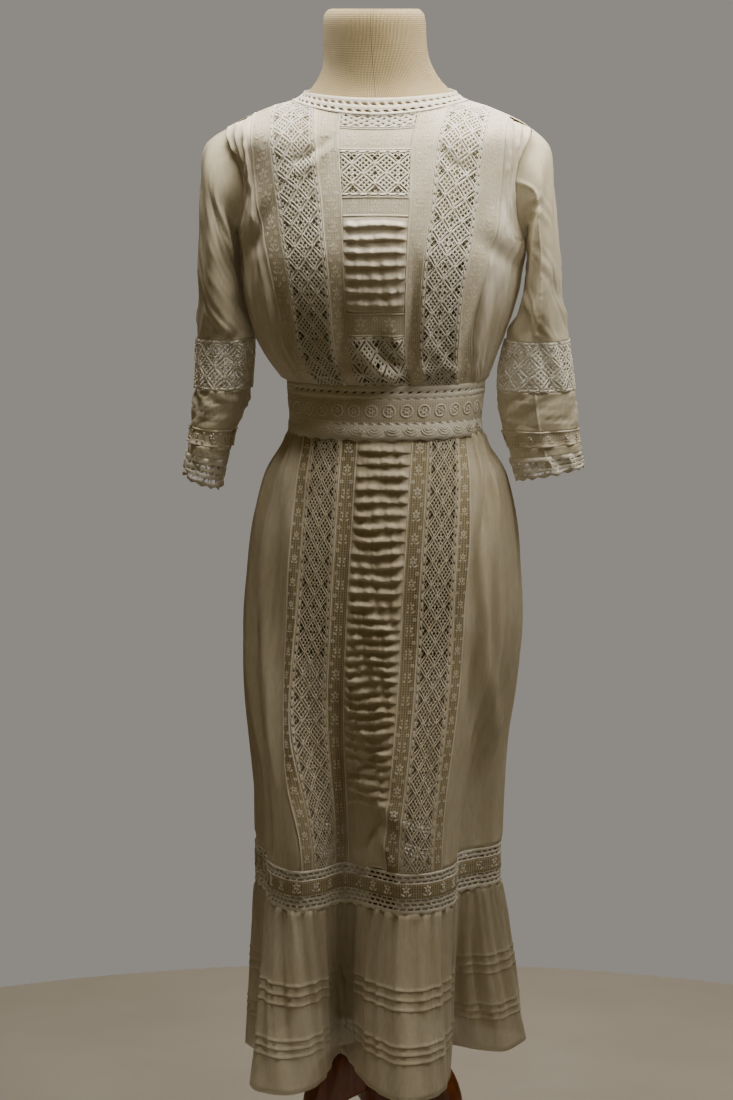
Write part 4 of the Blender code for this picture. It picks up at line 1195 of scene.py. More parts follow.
class Mixture(Nodes):
    """A material that is being mixed."""

    def __init__(self, name: str, even: dict[str, float]) -> None:
        """Start it, with its even values on the shader's own sockets."""
        self.material = bpy.data.materials.new(name)
        self.material.use_nodes = True
        super().__init__(self.material.node_tree)
        self.shader = self.tree.nodes["Principled BSDF"]
        self.fill(self.shader, {"Sheen Roughness": 0.45, "Specular IOR Level": 0.25, **even})

    def finish(self, tones: Sequence, height: Socket | None = None, strength: float = 0.0,
               depth: float = 0.0, **others: Socket) -> Material:
        """Colour and raise the surface, and give the material.

        Args:
            tones: the share of the second colour, and the two colours.
            height: the pattern that stands up.
            strength: how strongly it shows.
            depth: its real depth in metres.
            **others: what drives the shader's other sockets.

        Returns:
            The finished material.
        """
        colour = self.add("Mix", dict(zip((SHARE, FIRST, SECOND), tones)), MIXED, data_type="RGBA")
        if height is not None:
            others["Normal"] = self.add("Bump", {"Height": height, "Strength": strength, "Distance": depth})
        self.fill(self.shader, {"Base Color": colour, **others})
        return self.material


@dataclass(frozen=True)
class Lawn:
    """Fine plain-woven cotton lawn, bleached and then yellowed a little: matt, soft and sheer.

    Its real threads lie 0.3 mm apart, which no view shows, so the weave is drawn at thread.
    """

    name: str
    light: str = "#F3EDE0"
    shade: str = "#E6DDC8"
    cover: float = 0.90
    thread: float = 0.0010

    def make(self) -> Material:
        """Mix crossed threads, slubs and a sheerness that follows them."""
        mix = Mixture(self.name, {"Roughness": 0.88, "Sheen Weight": 0.18})
        threads = [mix.waves(place, 1.0) for place in mix.cut_places(self.thread)]
        weave = mix.add("Math", threads, operation="MULTIPLY")
        slubs = mix.cloud(0.004, (1.0, 1.0, 0.25))
        tone = mix.add("Math", (slubs, 0.35, mix.cloud(0.06)), operation="MULTIPLY_ADD")
        share = mix.add("MapRange", (tone, 0.45, 0.95))
        thick = mix.add("MapRange", (slubs, 0.35, 0.65, self.cover - 0.06, min(self.cover + 0.06, 1.0)))
        alpha = mix.add("Math", (weave, 0.03, thick), operation="MULTIPLY_ADD")
        height = mix.add("Math", (slubs, 1.6, weave), operation="MULTIPLY_ADD")
        return mix.finish((share, self.light, self.shade), height, 0.35, 0.00022, Alpha=alpha)


@dataclass(frozen=True)
class Thread:
    """Soft spun cotton thread, braided or darned close: matt and opaque, with a fine twist."""

    name: str
    light: str = "#F5F0E3"
    shade: str = "#E6DEC9"
    twist: float = 0.0011

    def make(self) -> Material:
        """Mix a diagonal twist and uneven bleaching."""
        mix = Mixture(self.name, {"Roughness": 0.9, "Sheen Weight": 0.12})
        strands = mix.waves(mix.add("Math", mix.cut_places(self.twist), operation="ADD"), 1.0)
        tone = mix.add("Math", (strands, 0.06, mix.cloud(0.03)), operation="MULTIPLY_ADD")
        share = mix.add("MapRange", (tone, 0.35, 0.7))
        height = mix.add("Math", (mix.cloud(0.0016), 1.5, strands), operation="MULTIPLY_ADD")
        return mix.finish((share, self.light, self.shade), height, 0.5, 0.0003)


@dataclass(frozen=True)
class Net:
    """Net lace ground of very fine thread, which reads as a sheer, darker band with fine upright lines.

    Its real meshes are 1 mm wide, and are drawn at mesh so that they show.
    """

    name: str
    light: str = "#EAE3D1"
    shade: str = "#DED5C0"
    mesh: float = 0.0030
    thread: float = 0.55
    open_cover: float = 0.78

    def make(self) -> Material:
        """Mix fine cords that run with the lace, and a ground of thinner net between them."""
        mix = Mixture(self.name, {"Roughness": 0.9, "Sheen Weight": 0.1})
        lines, rungs = (mix.add("Math", (mix.waves(place, 0.5),), operation="ABSOLUTE")
                        for place in mix.cut_places(self.mesh))
        rungs = mix.add("Math", (rungs, 0.25), operation="ADD")
        nearest = mix.add("Math", (lines, rungs), operation="MINIMUM")
        reach = (self.thread - 0.25, self.thread + 0.25, 1.0, self.open_cover)
        mask = mix.add("MapRange", (nearest, *reach), interpolation_type="SMOOTHSTEP")
        share = mix.add("MapRange", (mix.cloud(0.03), 0.35, 0.7))
        return mix.finish((share, self.light, self.shade), mask, 0.5, 0.0003, Alpha=mask)


@dataclass(frozen=True)
class Jersey:
    """Cream cotton jersey, knitted in fine vertical ribs and stretched over padding.

    Its real ribs are 2 mm wide, and are drawn at rib so that they show. Below the neckline its colour is
    painted shade, deeper at hip level than at the bust, which makes the holes of the lace over it read dark.
    """

    name: str = "ribbed_cotton_jersey"
    # The neck's colours are darker than cream jersey: partly the jersey's own tan, partly painted shade
    light: str = "#B5A47E"
    shade: str = "#857552"
    # Painted shade: below the neckline the jersey takes these deeper tones, deepest at hip level, for the
    # shade inside the dress
    chest_painted_shade: str = "#CFC5AA"
    hips_painted_shade: str = "#877C60"
    painted_shade_levels: tuple[float, float] = (1.06, 1.20)
    neckline: float = 1.350
    rib: float = 0.0034

    def make(self) -> Material:
        """Mix ribs that run up the form, each a column of small stitches."""
        mix = Mixture(self.name, {"Roughness": 0.86, "Sheen Weight": 0.2})
        across, along = mix.cut_places(self.rib)
        ribs = mix.add("Math", (mix.waves(across, 0.5),), operation="ABSOLUTE")
        rounded = mix.add("Math", (ribs, 0.6), operation="POWER")
        height = mix.add("Math", (mix.waves(along, 1.5), 0.12, rounded), operation="MULTIPLY_ADD")
        # Painted shade: the grooves between the ribs are darkened towards the shade colour
        groove_painted_shade = mix.add("MapRange", (ribs, 0.0, 0.55, 0.75, 0.0))
        patches = mix.add("MapRange", (mix.cloud(0.05), 0.4, 0.7, 0.0, 0.35))
        tone = mix.add("Math", (groove_painted_shade, patches), operation="ADD")
        level = mix.add("SeparateXYZ", (mix.add("TexCoord", output="Object"),), "Z")
        above = mix.add("MapRange", (level, self.neckline - 0.008, self.neckline))
        # The painted shade under the dress goes from the deeper tone at hip level to the lighter one at the
        # bust
        painted_shade_share = mix.add("MapRange", (level, *self.painted_shade_levels))
        painted_shade_under_dress, seen = (
            mix.add("Mix", {SHARE: share, FIRST: first, SECOND: second}, MIXED, data_type="RGBA")
            for share, first, second in ((painted_shade_share, self.hips_painted_shade, self.chest_painted_shade), (tone, self.light, self.shade)))
        return mix.finish((above, painted_shade_under_dress, seen), height, 0.9, 0.0009)


@dataclass(frozen=True)
class PolishedWood:
    """Turned and sawn beech, stained red-brown and french polished: long grain under a clear gloss."""

    name: str = "polished_stained_beech"
    light: str = "#8A4A24"
    dark: str = "#44200F"
    grain: float = 0.006
    stretch: Row = (1.0, 1.0, 0.12)

    def make(self) -> Material:
        """Mix stretched grain, fine pores and a coat of polish."""
        mix = Mixture(self.name, {"Roughness": 0.34, "Specular IOR Level": 0.5, "Coat Weight": 0.5,
                                  "Coat Roughness": 0.12})
        pores = mix.cloud(self.grain / 6, self.stretch, 2.0)
        bands = mix.cloud(self.grain, self.stretch, 5.0)
        tone = mix.add("Math", (pores, 0.25, bands), operation="MULTIPLY_ADD")
        share = mix.add("MapRange", (tone, 0.45, 0.85))
        return mix.finish((share, self.light, self.dark), pores, 0.25, 0.0002)


@dataclass(frozen=True)
class Plain:
    """A plain matt surface with the slightest mottle, for the studio and for small pearl buttons."""

    name: str
    light: str
    shade: str
    roughness: float
    size: float

    def make(self) -> Material:
        """Mix two near tones by soft noise."""
        mix = Mixture(self.name, {"Roughness": self.roughness})
        share = mix.add("MapRange", (mix.cloud(self.size), 0.35, 0.65))
        return mix.finish((share, self.light, self.shade))


def roll(finish: Lawn | Thread | Net) -> Material:
    """A field that holds a finish's own material."""
    return field(default_factory=finish.make)


@dataclass
class Rolls:
    """The cloth and trimmings to cut from, one material each."""

    lawn: Material = roll(Lawn("cotton_lawn_bodice", cover=0.92))
    # The sleeve, skirt and flounce lawns and the skirt's braid and net are darker copies of the bodice's
    # lawn, braid and net: their extra darkness is painted shade
    sleeve: Material = roll(Lawn("cotton_lawn_sleeve", "#EFE9D6", "#E0D8BE", 0.62))
    skirt: Material = roll(Lawn("cotton_lawn_skirt", "#E4DCC8", "#D6CBB0", 0.82))
    flounce: Material = roll(Lawn("cotton_lawn_flounce", "#DFD7C3", "#D0C5AA", 0.70))
    braid: Material = roll(Thread("cluny_cotton_braid", "#FBF8F0", "#F0EADA"))
    shaded_skirt_braid: Material = roll(Thread("cluny_cotton_braid_skirt", "#E6DFCC", "#D9CFB6"))
    darning: Material = roll(Thread("valenciennes_darning", twist=0.0008))
    net: Material = roll(Net("valenciennes_net"))
    shaded_skirt_net: Material = roll(Net("valenciennes_net_skirt", "#C6BB9F", "#B6A98A", open_cover=0.46))


@dataclass
class Cloth:
    """How a piece of flat cloth is worn: where it lies, how it was cut, and how its folds stand.

    relief lifts it, swell multiplies the height of its tucks, slip moves it along, and a crisp one
    is pressed so flat that its motifs have square edges.
    """

    patch: Patch
    wall: float
    relief: Relief | float = 0.0
    swell: Relief | None = None
    slip: Relief | None = None
    held: str = "stretched"
    fullness: float = 1.0
    cut_length: float = 0.0
    rests_on: str = "form_torso"
    crisp: bool = False


def in_scene(name: str, mesh: bpy.types.Mesh, materials: Sequence[Material]) -> bpy.types.Object:
    """Stand a mesh in the scene, in its materials."""
    for material in materials:
        mesh.materials.append(material)
    item = bpy.data.objects.new(name, mesh)
    bpy.context.scene.collection.objects.link(item)
    return item


def sew(name: str, form: Form, cloth: Cloth, materials: Sequence[Material], node: str) -> None:
    """Args:
        name: the piece's name.
        form: the flat cloth, which is freed.
        cloth: how it is worn.
        materials: its materials, by the form's material index.
        node: the node that it stands for, with the others of that node.
    """
    patch = cloth.patch
    mesh = mesh_of(name, form)
    flat = np.empty(len(mesh.vertices) * 3)
    mesh.vertices.foreach_get("co", flat)
    flat = flat.reshape(-1, 3)
    areas = np.empty(len(mesh.polygons))
    mesh.polygons.foreach_get("area", areas)
    corners = np.empty(len(mesh.loops), dtype=int)
    mesh.loops.foreach_get("vertex_index", corners)
    mesh.uv_layers.new(name=UV_NAME).data.foreach_set("uv", flat[corners, :2].ravel())
    across = flat[:, 0] % patch.width if patch.closed else flat[:, 0]
    along = flat[:, 1].copy()
    if cloth.swell:
        flat[:, 2] *= cloth.swell(across, along)
    flat[:, 2] += cloth.relief(across, along) if callable(cloth.relief) else cloth.relief
    if cloth.slip:
        flat[:, 1] += cloth.slip(across, along)
    mesh.vertices.foreach_set("co", patch.lay(flat).ravel())
    if patch.closed:
        whole = bmesh.new()
        whole.from_mesh(mesh)
        bmesh.ops.remove_doubles(whole, verts=[vert for vert in whole.verts if vert.is_boundary], dist=2e-5)
        whole.to_mesh(mesh)
        whole.free()
    mesh.shade_smooth()
    item = in_scene(name, mesh, materials)
    wall = item.modifiers.new("cloth", "SOLIDIFY")
    wall.thickness = cloth.wall
    wall.offset = -1.0
    if cloth.crisp:
        press(item)
    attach(item, "root")
    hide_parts(node)


def press(item: bpy.types.Object) -> None:
    """Apply a piece's wall, and shade its cut edges square."""
    solid = bpy.data.meshes.new_from_object(item.evaluated_get(bpy.context.evaluated_depsgraph_get()))
    item.modifiers.clear()
    item.data = solid
    solid.set_sharp_from_angle(angle=math.radians(40))


def add_piece(name: str, form: Form, material: Material, slot: Slot, *nodes: str) -> None:
    """Finish a hard piece that is modelled in place.

    Args:
        name: the piece's name.
        form: its mesh, which is freed.
        material: its finish.
        slot: not used.
        *nodes: the nodes that it stands for.
    """
    mesh = mesh_of(name, form)
    mesh.shade_smooth()
    mesh.set_sharp_from_angle(angle=math.radians(50))
    item = in_scene(name, mesh, (material,))
    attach(item, "root")
    if nodes:
        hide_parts(*nodes)
    logging.info("%s: %d faces", name, len(mesh.polygons))


def spun(profile: Sequence[Point], steps: int) -> Form:
    """Turn a profile of radii and heights, from the axis to the axis, once round Z."""
    form = bmesh.new()
    verts = [form.verts.new((radius, 0.0, height)) for radius, height in profile]
    edges = [form.edges.new(pair) for pair in zip(verts, verts[1:])]
    bmesh.ops.spin(form, geom=verts + edges, axis=(0, 0, 1), cent=(0, 0, 0), steps=steps, angle=2 * math.pi,
                   use_merge=True)
    bmesh.ops.remove_doubles(form, verts=form.verts[:], dist=1e-6)
    bmesh.ops.holes_fill(form, edges=form.edges[:], sides=0)
    bmesh.ops.recalc_face_normals(form, faces=form.faces[:])
    return form


# Bodice

def bodice_drape(points: Grid) -> Grid:
    """The creases of the bodice, between the waistband and the neck."""
    return draped(BODICE_CREASES, points, WAIST_TOP, 1.338)


def bodice_band(low: float, high: float) -> Patch:
    """A band of the centre front panel between two heights at the centre front, less its joins."""
    low, high = low + JOIN_GAP, high - JOIN_GAP
    sections = (section_at_height(low), min(section_at_height(high), BODICE_TOP))

    def place(s: float, t: float) -> Vector:
        section = sections[0] + (sections[1] - sections[0]) * t
        side = -1 if s < 0.5 else 1
        return bodice_point(strip_angle(section, abs(2 * s - 1), side), section)

    return Patch(place, 28, max(4, round((high - low) / 0.003)), drape=bodice_drape)


def bodice_strip(low: float, high: float, side: int) -> Patch:
    """One lace strip of the bodice, from the waist to its own top at the neck or shoulder."""
    def place(s: float, t: float) -> Vector:
        strip = low + (high - low) * (s if side > 0 else 1 - s)
        section = front_section(SHOULDER_TIP * t, strip_top(round(strip, 4), side))
        angle = strip_angle(section, strip, side)
        return bodice_point(min(max(angle, -STRIP_LIMIT), STRIP_LIMIT), section)

    return Patch(place, 10, 84, drape=bodice_drape)


def bodice_side(side: int) -> Patch:
    """The lawn between the lace and the side seam and armhole."""
    inner_top = strip_top(4.0, side)

    def place(s: float, t: float) -> Vector:
        share = s if side > 0 else 1 - s
        outer_section = SHOULDER_TIP * t
        inner_section = front_section(outer_section, inner_top)
        section = inner_section + (outer_section - inner_section) * share
        start = abs(strip_angle(section, 4.0, side))
        end = 90 - (armhole_angle(outer_section) if outer_section > UNDERARM else 0.0)
        return bodice_point(side * (start + (end - start) * share), section)

    return Patch(place, 30, 84, drape=bodice_drape)


def bodice_back(side: int) -> Patch:
    """Half the bodice back, from the side seam and armhole to the centre back."""
    def place(s: float, t: float) -> Vector:
        section = BODICE_TOP * t
        notch = armhole_angle(section) if UNDERARM <= section <= SHOULDER_TIP else 0.0
        start = 90 + notch
        share = s if side > 0 else 1 - s
        return bodice_point(side * (start + (180 - start) * share), section)

    return Patch(place, 36, 76, drape=bodice_drape)


def tucks(bottom: float, top: float, lips: Sequence[float], depth: float, height: float,
          plain: float = GRID_STEP) -> list[Point]:
    """The rows of tucked cloth, from its bottom up, each tuck a puffed ridge that hangs over its own foot.

    Args:
        bottom: the cloth's lower edge on the patch.
        top: its upper edge.
        lips: where the tucks' folded edges lie, rising.
        depth: how deep each tuck is.
        height: how far a lip stands out.
        plain: the row spacing between tucks.

    Returns:
        The place and lift of each row.
    """
    ridge = ((0.14, 0.03), (0.02, 0.40), (0.0, 0.74), (0.08, 0.97), (0.22, 1.0), (0.40, 0.84), (0.60, 0.50),
             (0.80, 0.16), (1.0, 0.0))
    rows = [(bottom, 0.0)]
    for lip in lips:
        rows += [(place, 0.0) for place in even(rows[-1][0], lip - 0.001, plain)[1:]]
        rows += [(lip + share * depth, lift * height) for share, lift in ridge]
    rows += [(place, 0.0) for place in even(rows[-1][0], top, plain)[1:]]
    return rows


def row_length(rows: Sequence[Point]) -> float:
    """How long cloth is when its tucks are let out."""
    return sum(math.dist(start, end) for start, end in zip(rows, rows[1:]))


@dataclass
class Bodice:
    """The bodice: the centre panel, the lace strips, the lawn fronts and the buttoned back."""

    rolls: Rolls
    seams: Row = (1.338, 1.313, 1.262, 1.239, 1.129, 1.101)
    tuck_top: float = 1.236
    tuck_count: int = 7
    tuck_spacing: float = 0.0150
    tuck_depth: float = 0.0088
    tuck_height: float = 0.0044
    gathers: float = 0.0015
    side_fade: float = 1 / 14
    shoulder_tucks: Row = (0.16, 0.48, 0.80)
    placket_lift: float = 0.0021
    button_count: int = 7
    trellis: Trellis = field(default_factory=Trellis)

    def make(self) -> None:
        """Sew every piece of the bodice."""
        self.make_panel()
        for side, word in ((-1, "left"), (1, "right")):
            self.make_strips(side, word)
            self.make_front(side, word)
            self.make_back(side, word)
        self.make_neckband()
        self.make_placket()

    def make_panel(self) -> None:
        """Sew the bands of lace and lawn down the centre front."""
        top, upper, wide, lower, low_lawn, low_lace = self.seams
        narrow = Trellis(repeat=0.0118, braid=0.30, slot=0.03, holes=1, foot=0.0018, foot_pitch=0.0082)
        self.panel_cluny("neck", top, bodice_section(BODICE_TOP)[0], narrow)
        self.panel_val("upper", upper, top)
        self.panel_cluny("wide", wide, upper, self.trellis)
        self.panel_val("lower", lower, wide)
        self.panel_tucks(low_lawn, lower)
        self.panel_val("waist", low_lace, low_lawn)
        self.panel_cluny("waist", WAIST_TOP, low_lace, Trellis(repeat=0.0225, braid=0.28, thread=0.0012))

    def panel_cluny(self, word: str, low: float, high: float, lace: Trellis) -> None:
        """Sew a row of braided lace across the panel, between two heights."""
        patch = bodice_band(low, high)
        sew("panel_cluny_" + word, lace.make(patch, Way.ACROSS), Cloth(patch, 0.0006, 0.0007),
            (self.rolls.braid,), "bodice_panel")

    def panel_val(self, word: str, low: float, high: float) -> None:
        """Sew a row of flower lace across the panel, between two heights."""
        patch = bodice_band(low, high)
        sew("panel_val_" + word, flower_lace(patch, Way.ACROSS), Cloth(patch, NET_WALL, NET_LIFT, crisp=True),
            (self.rolls.net, self.rolls.darning), "bodice_panel")

    def panel_tucks(self, low: float, high: float) -> None:
        """Sew the block of lawn with its puffed, uneven tucks."""
        patch = bodice_band(low, high)
        lips = sorted(self.tuck_top - low - index * self.tuck_spacing - self.tuck_depth
                      for index in range(self.tuck_count))
        rows = tucks(0.0, patch.length, lips, self.tuck_depth, self.tuck_height)
        form = cut(even(0.0, patch.width, TUCK_STEP), rows)

        def swell(u: Grid, v: Grid) -> Grid:
            share = u / patch.width
            broad = 0.86 + 0.30 * ripple(share, 4, v * 47)
            return inset(u, patch.width, 0.007, 0.25) * (broad + 0.16 * ripple(share, 9, v * 31))

        def slip(u: Grid, v: Grid) -> Grid:
            share = u / patch.width
            return 0.0007 * ripple(share * 0.5, 2, 1.0 + v * 28) + 0.0003 * ripple(share, 6, v * 33)

        cloth = Cloth(patch, LAWN_WALL, NET_LIFT, swell, slip, cut_length=row_length(rows))
        sew("panel_tucks", form, cloth, (self.rolls.lawn,), "bodice_panel")

    def make_strips(self, side: int, word: str) -> None:
        """Sew one side's narrow, wide and narrow laces, with whipped seams between them."""
        rolls = self.rolls
        node = "bodice_insertion_" + word
        for name, low, high in (("val_inner", 1.0, 2.0), ("val_outer", 3.0, 4.0)):
            patch = bodice_strip(low + 0.01, high - 0.01, side)
            cloth = Cloth(patch, NET_WALL, NET_LIFT, crisp=True)
            sew(f"bodice_{name}_{word}", flower_lace(patch, Way.UP), cloth, (rolls.net, rolls.darning),
                node)
        patch = bodice_strip(2.0, 3.0, side)
        sew("bodice_cluny_" + word, self.trellis.make(patch, Way.UP), Cloth(patch, BRAID_WALL, BRAID_LIFT),
            (rolls.braid,), node)

    def make_front(self, side: int, word: str) -> None:
        """Sew one lawn front, tucked at the shoulder and gathered into the waist."""
        patch = bodice_side(side)

        def relief(u: Grid, v: Grid) -> Grid:
            share = (u if side > 0 else patch.width - u) / patch.width
            up = v / patch.length
            gather = self.gathers * np.exp(-v / 0.045) * ripple(u / patch.width, 9, 2.0 + side)
            lift = np.clip(v / 0.006, 0, 1) * (0.0016 * np.exp(-v / 0.05) + gather)
            for index, place in enumerate(self.shoulder_tucks):
                start = 0.64 + 0.05 * index
                aside = (share - place - 0.04 * np.sin((up - 0.6) * 5)) * patch.width
                rise = np.clip((up - start) * 7, 0, 1) * np.clip((1.002 - up) * 17, 0, 1)
                pucker = 1 + 0.22 * ripple(up, 17, 2.0 * index + side)
                fold = np.where(aside < 0, bell(aside, 0.0046), bell(aside, 0.0009))
                puff = bell(up - start + 0.03, 0.035) * bell(aside, 0.0060)
                lift = lift + 0.0054 * rise * pucker * fold + 0.0026 * puff
            waves = ripple(share + 0.05 * np.sin(up * 6), 5, 4.0 + side)
            long = 0.0017 * waves * np.sin(np.clip(up * 1.5, 0, 1) * math.pi)
            seam = np.clip((1 - up) * patch.length / 0.012, 0, 1)
            crumple = 0.0010 * ripple(share + up * 0.6, 6, 1.0 + side) * ripple(up + 0.3 * share, 7, 2.0)
            return (lift + long + crumple * seam + 0.0008 + 0.0004 * seam) * inset(share, 1, self.side_fade)

        cloth = Cloth(patch, LAWN_WALL, relief, held="gathered", fullness=1.15)
        sew("bodice_front_lawn_" + word, plain_cut(patch, 0.0014, 0.0034), cloth, (self.rolls.lawn,),
            "bodice_front_" + word)

    def make_back(self, side: int, word: str) -> None:
        """Sew one half of the back."""
        patch = bodice_back(side)

        def relief(u: Grid, v: Grid) -> Grid:
            share = u / patch.width
            gather = np.exp(-v / 0.05) * (0.0012 + self.gathers * ripple(share, 19, 5.0 + side))
            waves = 0.0012 * ripple(share + v * 0.4, 4, 1.5 + side)
            folds = waves * np.sin(np.clip(v / patch.length, 0, 1) * math.pi)
            return (np.clip(v / 0.006, 0, 1) * gather + folds + 0.0008) * inset(share, 1, self.side_fade)

        cloth = Cloth(patch, LAWN_WALL, relief, held="gathered", fullness=1.1)
        sew("bodice_back_lawn_" + word, plain_cut(patch, 0.0028, 0.0035), cloth, (self.rolls.lawn,),
            "bodice_back_" + word)

    def make_neckband(self) -> None:
        """Sew the ladder lace round the neck."""
        def place(s: float, t: float) -> Vector:
            return bodice_point(360 * s, NECK_SEAM - 0.08 + (NECK_EDGE - NECK_SEAM + 0.08) * t)

        patch = Patch(place, 180, 6, closed=True)
        low, low_end, high, high_end = (share * patch.length for share in (0.14, 0.42, 0.56, 0.84))
        rows = (OpenRow(low, low_end, -0.75), OpenRow(high, high_end, -0.75, -0.40))

        def relief(u: Grid, v: Grid) -> Grid:
            waves = 0.0003 * ripple(u / patch.width, 23, 2.0)
            return 0.0009 + 0.0008 * cords(v / patch.length, (0.0, 0.49, 1.0), 0.06) + waves

        sew("neckband_lace", open_band(patch, 0.0104, rows, 0.00125), Cloth(patch, BRAID_WALL, relief),
            (self.rolls.braid,), "neckband")

    def make_placket(self) -> None:
        """Sew the strip that laps over the back opening, and its buttons."""
        half_width = 0.010

        def place(s: float, t: float) -> Vector:
            section = 0.1 + (BODICE_TOP - 0.1) * t
            reach = math.degrees(half_width / bodice_section(section)[5])
            return bodice_point(180 - reach + 2 * reach * s, section)

        patch = Patch(place, 6, 60)
        hem = (0.0, 0.0012, 0.0030)
        lines = [*hem, *even(0.0035, patch.width - 0.0035, 0.0022), *(patch.width - x for x in reversed(hem))]
        form = cut(lines, [(place, 0.0) for place in even(0.0, patch.length, 0.0040)])

        def relief(u: Grid, v: Grid) -> Grid:
            stitched = -0.0004 * bell(np.minimum(u, patch.width - u) - 0.0030, 0.0006)
            return self.placket_lift + stitched + 0.0003 * ripple(v / patch.length, 9, 3.0)

        sew("back_placket_lawn", form, Cloth(patch, 0.0009, relief, rests_on="bodice_back_left"),
            (self.rolls.lawn,), "back_placket")
        form = bmesh.new()
        for button in range(self.button_count):
            self.add_button(form, patch, patch.length * (1 - (button + 0.4) / self.button_count))
        pearl = Plain("shell_button", "#F2EDDF", "#DCD3BE", 0.30, 0.004).make()
        add_piece("back_buttons", form, pearl, Slot.LAWN)

    def add_button(self, form: Form, patch: Patch, height: float) -> None:
        """Add one small four-holed button to the row down the placket."""
        ends = patch.lay(np.array([[patch.width / 2, height, lift] for lift in (self.placket_lift, 0.0100)]))
        centre, beyond = (Vector(end) for end in ends)
        one = spun(((0.0, 0.0010), (0.0016, 0.0010), (0.0023, 0.0017), (0.0033, 0.0017), (0.0037, 0.0010),
                    (0.0034, 0.0)), 20)
        for index in range(4):
            angle = math.radians(45 + 90 * index)
            spot = Matrix.Translation((0.0011 * math.cos(angle), 0.0011 * math.sin(angle), 0.00105))
            bmesh.ops.create_circle(one, cap_ends=True, segments=8, radius=0.0004, matrix=spot)
        turn = (beyond - centre).normalized().to_track_quat("Z", "Y").to_matrix().to_4x4()
        one.transform(Matrix.Translation(centre) @ turn)
        join(form, one)


# Sleeves

@dataclass
class Sleeve:
    """One three-quarter sleeve of sheer lawn, with bands of lace and a lace edging."""

    rolls: Rolls
    side: int
    word: str
    rings: Sequence[SleeveRing]
    sleeve_lace: tuple[float, float] = (5.0, 6.0)
    second_lace: tuple[float, float] = (7.0, 7.65)
    edging: float = 8.10
    edging_rows: tuple[Row, ...] = ((0.08, 0.28, 0.4, 0.0), (0.34, 0.52, 0.0, 0.4), (0.60, 0.80, -0.4, 0.4))
    seam: float = 0.25

    def patch(self, top: float, bottom: float, along: int) -> Patch:
        """A stretch of the sleeve between two places down it."""
        def place(s: float, t: float) -> Vector:
            return sleeve_point(self.rings, self.side, 180 - self.side * 360 * s, bottom + (top - bottom) * t)

        return Patch(place, 96, along, closed=True)

    def make(self) -> None:
        """Sew the sleeve from the armhole to its edging."""
        rolls = self.rolls
        lace_top, lace_bottom = self.sleeve_lace
        second_top, second_bottom = self.second_lace
        self.lawn("sleeve_lawn_upper_", 0.0, lace_top - 0.006, 0.0032, "sleeve_upper_")
        patch = self.patch(lace_top, lace_bottom, 16)
        self.sew("sleeve_cluny_", Trellis(repeat=0.0245).make(patch, Way.ACROSS),
                 Cloth(patch, 0.0008, self.soft(patch, 0.0020, 0.0010)), (rolls.braid,), "sleeve_lace_")
        self.lawn("sleeve_lawn_lower_", lace_bottom + 0.008, second_top, 0.0026, "sleeve_lower_")
        patch = self.patch(second_top, second_bottom, 8)
        self.sew("sleeve_val_", flower_lace(patch, Way.ACROSS, 0.022),
                 Cloth(patch, 0.0004, self.soft(patch, 0.0024, 0.0006)), (rolls.net, rolls.darning),
                 "sleeve_lower_")
        self.lawn("sleeve_lawn_cuff_", second_bottom, self.edging, 0.0024, "sleeve_lower_")
        patch = self.patch(self.edging, float(len(self.rings)), 14)
        rows = [OpenRow(patch.length * low, patch.length * high, slant, shift)
                for low, high, slant, shift in self.edging_rows]
        self.sew("sleeve_edging_", open_band(patch, 0.0078, rows, 0.0012, 0.0030),
                 Cloth(patch, 0.0007, self.soft(patch, 0.0034, 0.0006)), (rolls.braid,), "sleeve_lower_")

    def soft(self, patch: Patch, height: float, lift: float) -> Relief:
        """Uneven soft folds that run down the sleeve."""
        seed = 3.0 + self.side * 1.7

        def relief(u: Grid, v: Grid) -> Grid:
            waves = ripple(u / patch.width + 1.2 * v, 9, seed) + 1.2 * self.seam_ridge(u, patch)
            return lift + height * (waves + 0.4 * ripple(u / patch.width, 23, seed + v * 60))

        return relief

    def seam_ridge(self, u: Grid, patch: Patch) -> Grid:
        """How the pressed seam stands up down the sleeve's front."""
        aside = u - self.seam * patch.width
        return bell(aside, 0.0016) + 0.35 * bell(aside, 0.0060)

    def lawn(self, name: str, top: float, bottom: float, height: float, node: str) -> None:
        """Sew a stretch of plain lawn, crumpled as it hangs."""
        patch = self.patch(top, bottom, 56)
        step = 0.0028
        seam = self.seam * patch.width
        lines = [*even(0.0, seam - 0.0030, step), *even(seam - 0.0024, seam + 0.0024, 0.0008),
                 *even(seam + 0.0030, patch.width, step)]
        form = cut(lines, [(place, 0.0) for place in even(0.0, patch.length, step)])
        seed = 5.0 + self.side * 2.1 + top
        seat = 0.055 if top == 0.0 else 0.012

        def relief(u: Grid, v: Grid) -> Grid:
            share = u / patch.width
            up = v / patch.length
            ends = np.clip(np.minimum(v / 0.012, (patch.length - v) / seat), 0, 1)
            waves = 1.2 * ripple(share + 0.08 * np.sin(up * 4 + seed), 6, seed)
            folds = waves * (0.7 + 0.3 * np.sin(up * 7 + seed))
            crumple = ripple(share + 0.7 * up, 11, seed + 1) * ripple(up * 0.7 + 2 * share, 5, seed + 2)
            whipped = 0.0020 + 0.0006 * ripple(up, 23, seed)
            return height * ends * (folds + 0.8 * crumple) + whipped * self.seam_ridge(u, patch) + 0.0006

        cloth = Cloth(patch, 0.00040, relief, held="hung", fullness=1.05)
        self.sew(name, form, cloth, (self.rolls.sleeve,), node, Slot.LAWN)

    def sew(self, name: str, form: Form, cloth: Cloth, materials: Sequence[Material], node: str,
            slot: Slot = Slot.LACE) -> None:
        """Sew a piece of this sleeve, named for its side."""
        sew(name + self.word, form, cloth, materials, node + self.word)


# Skirt

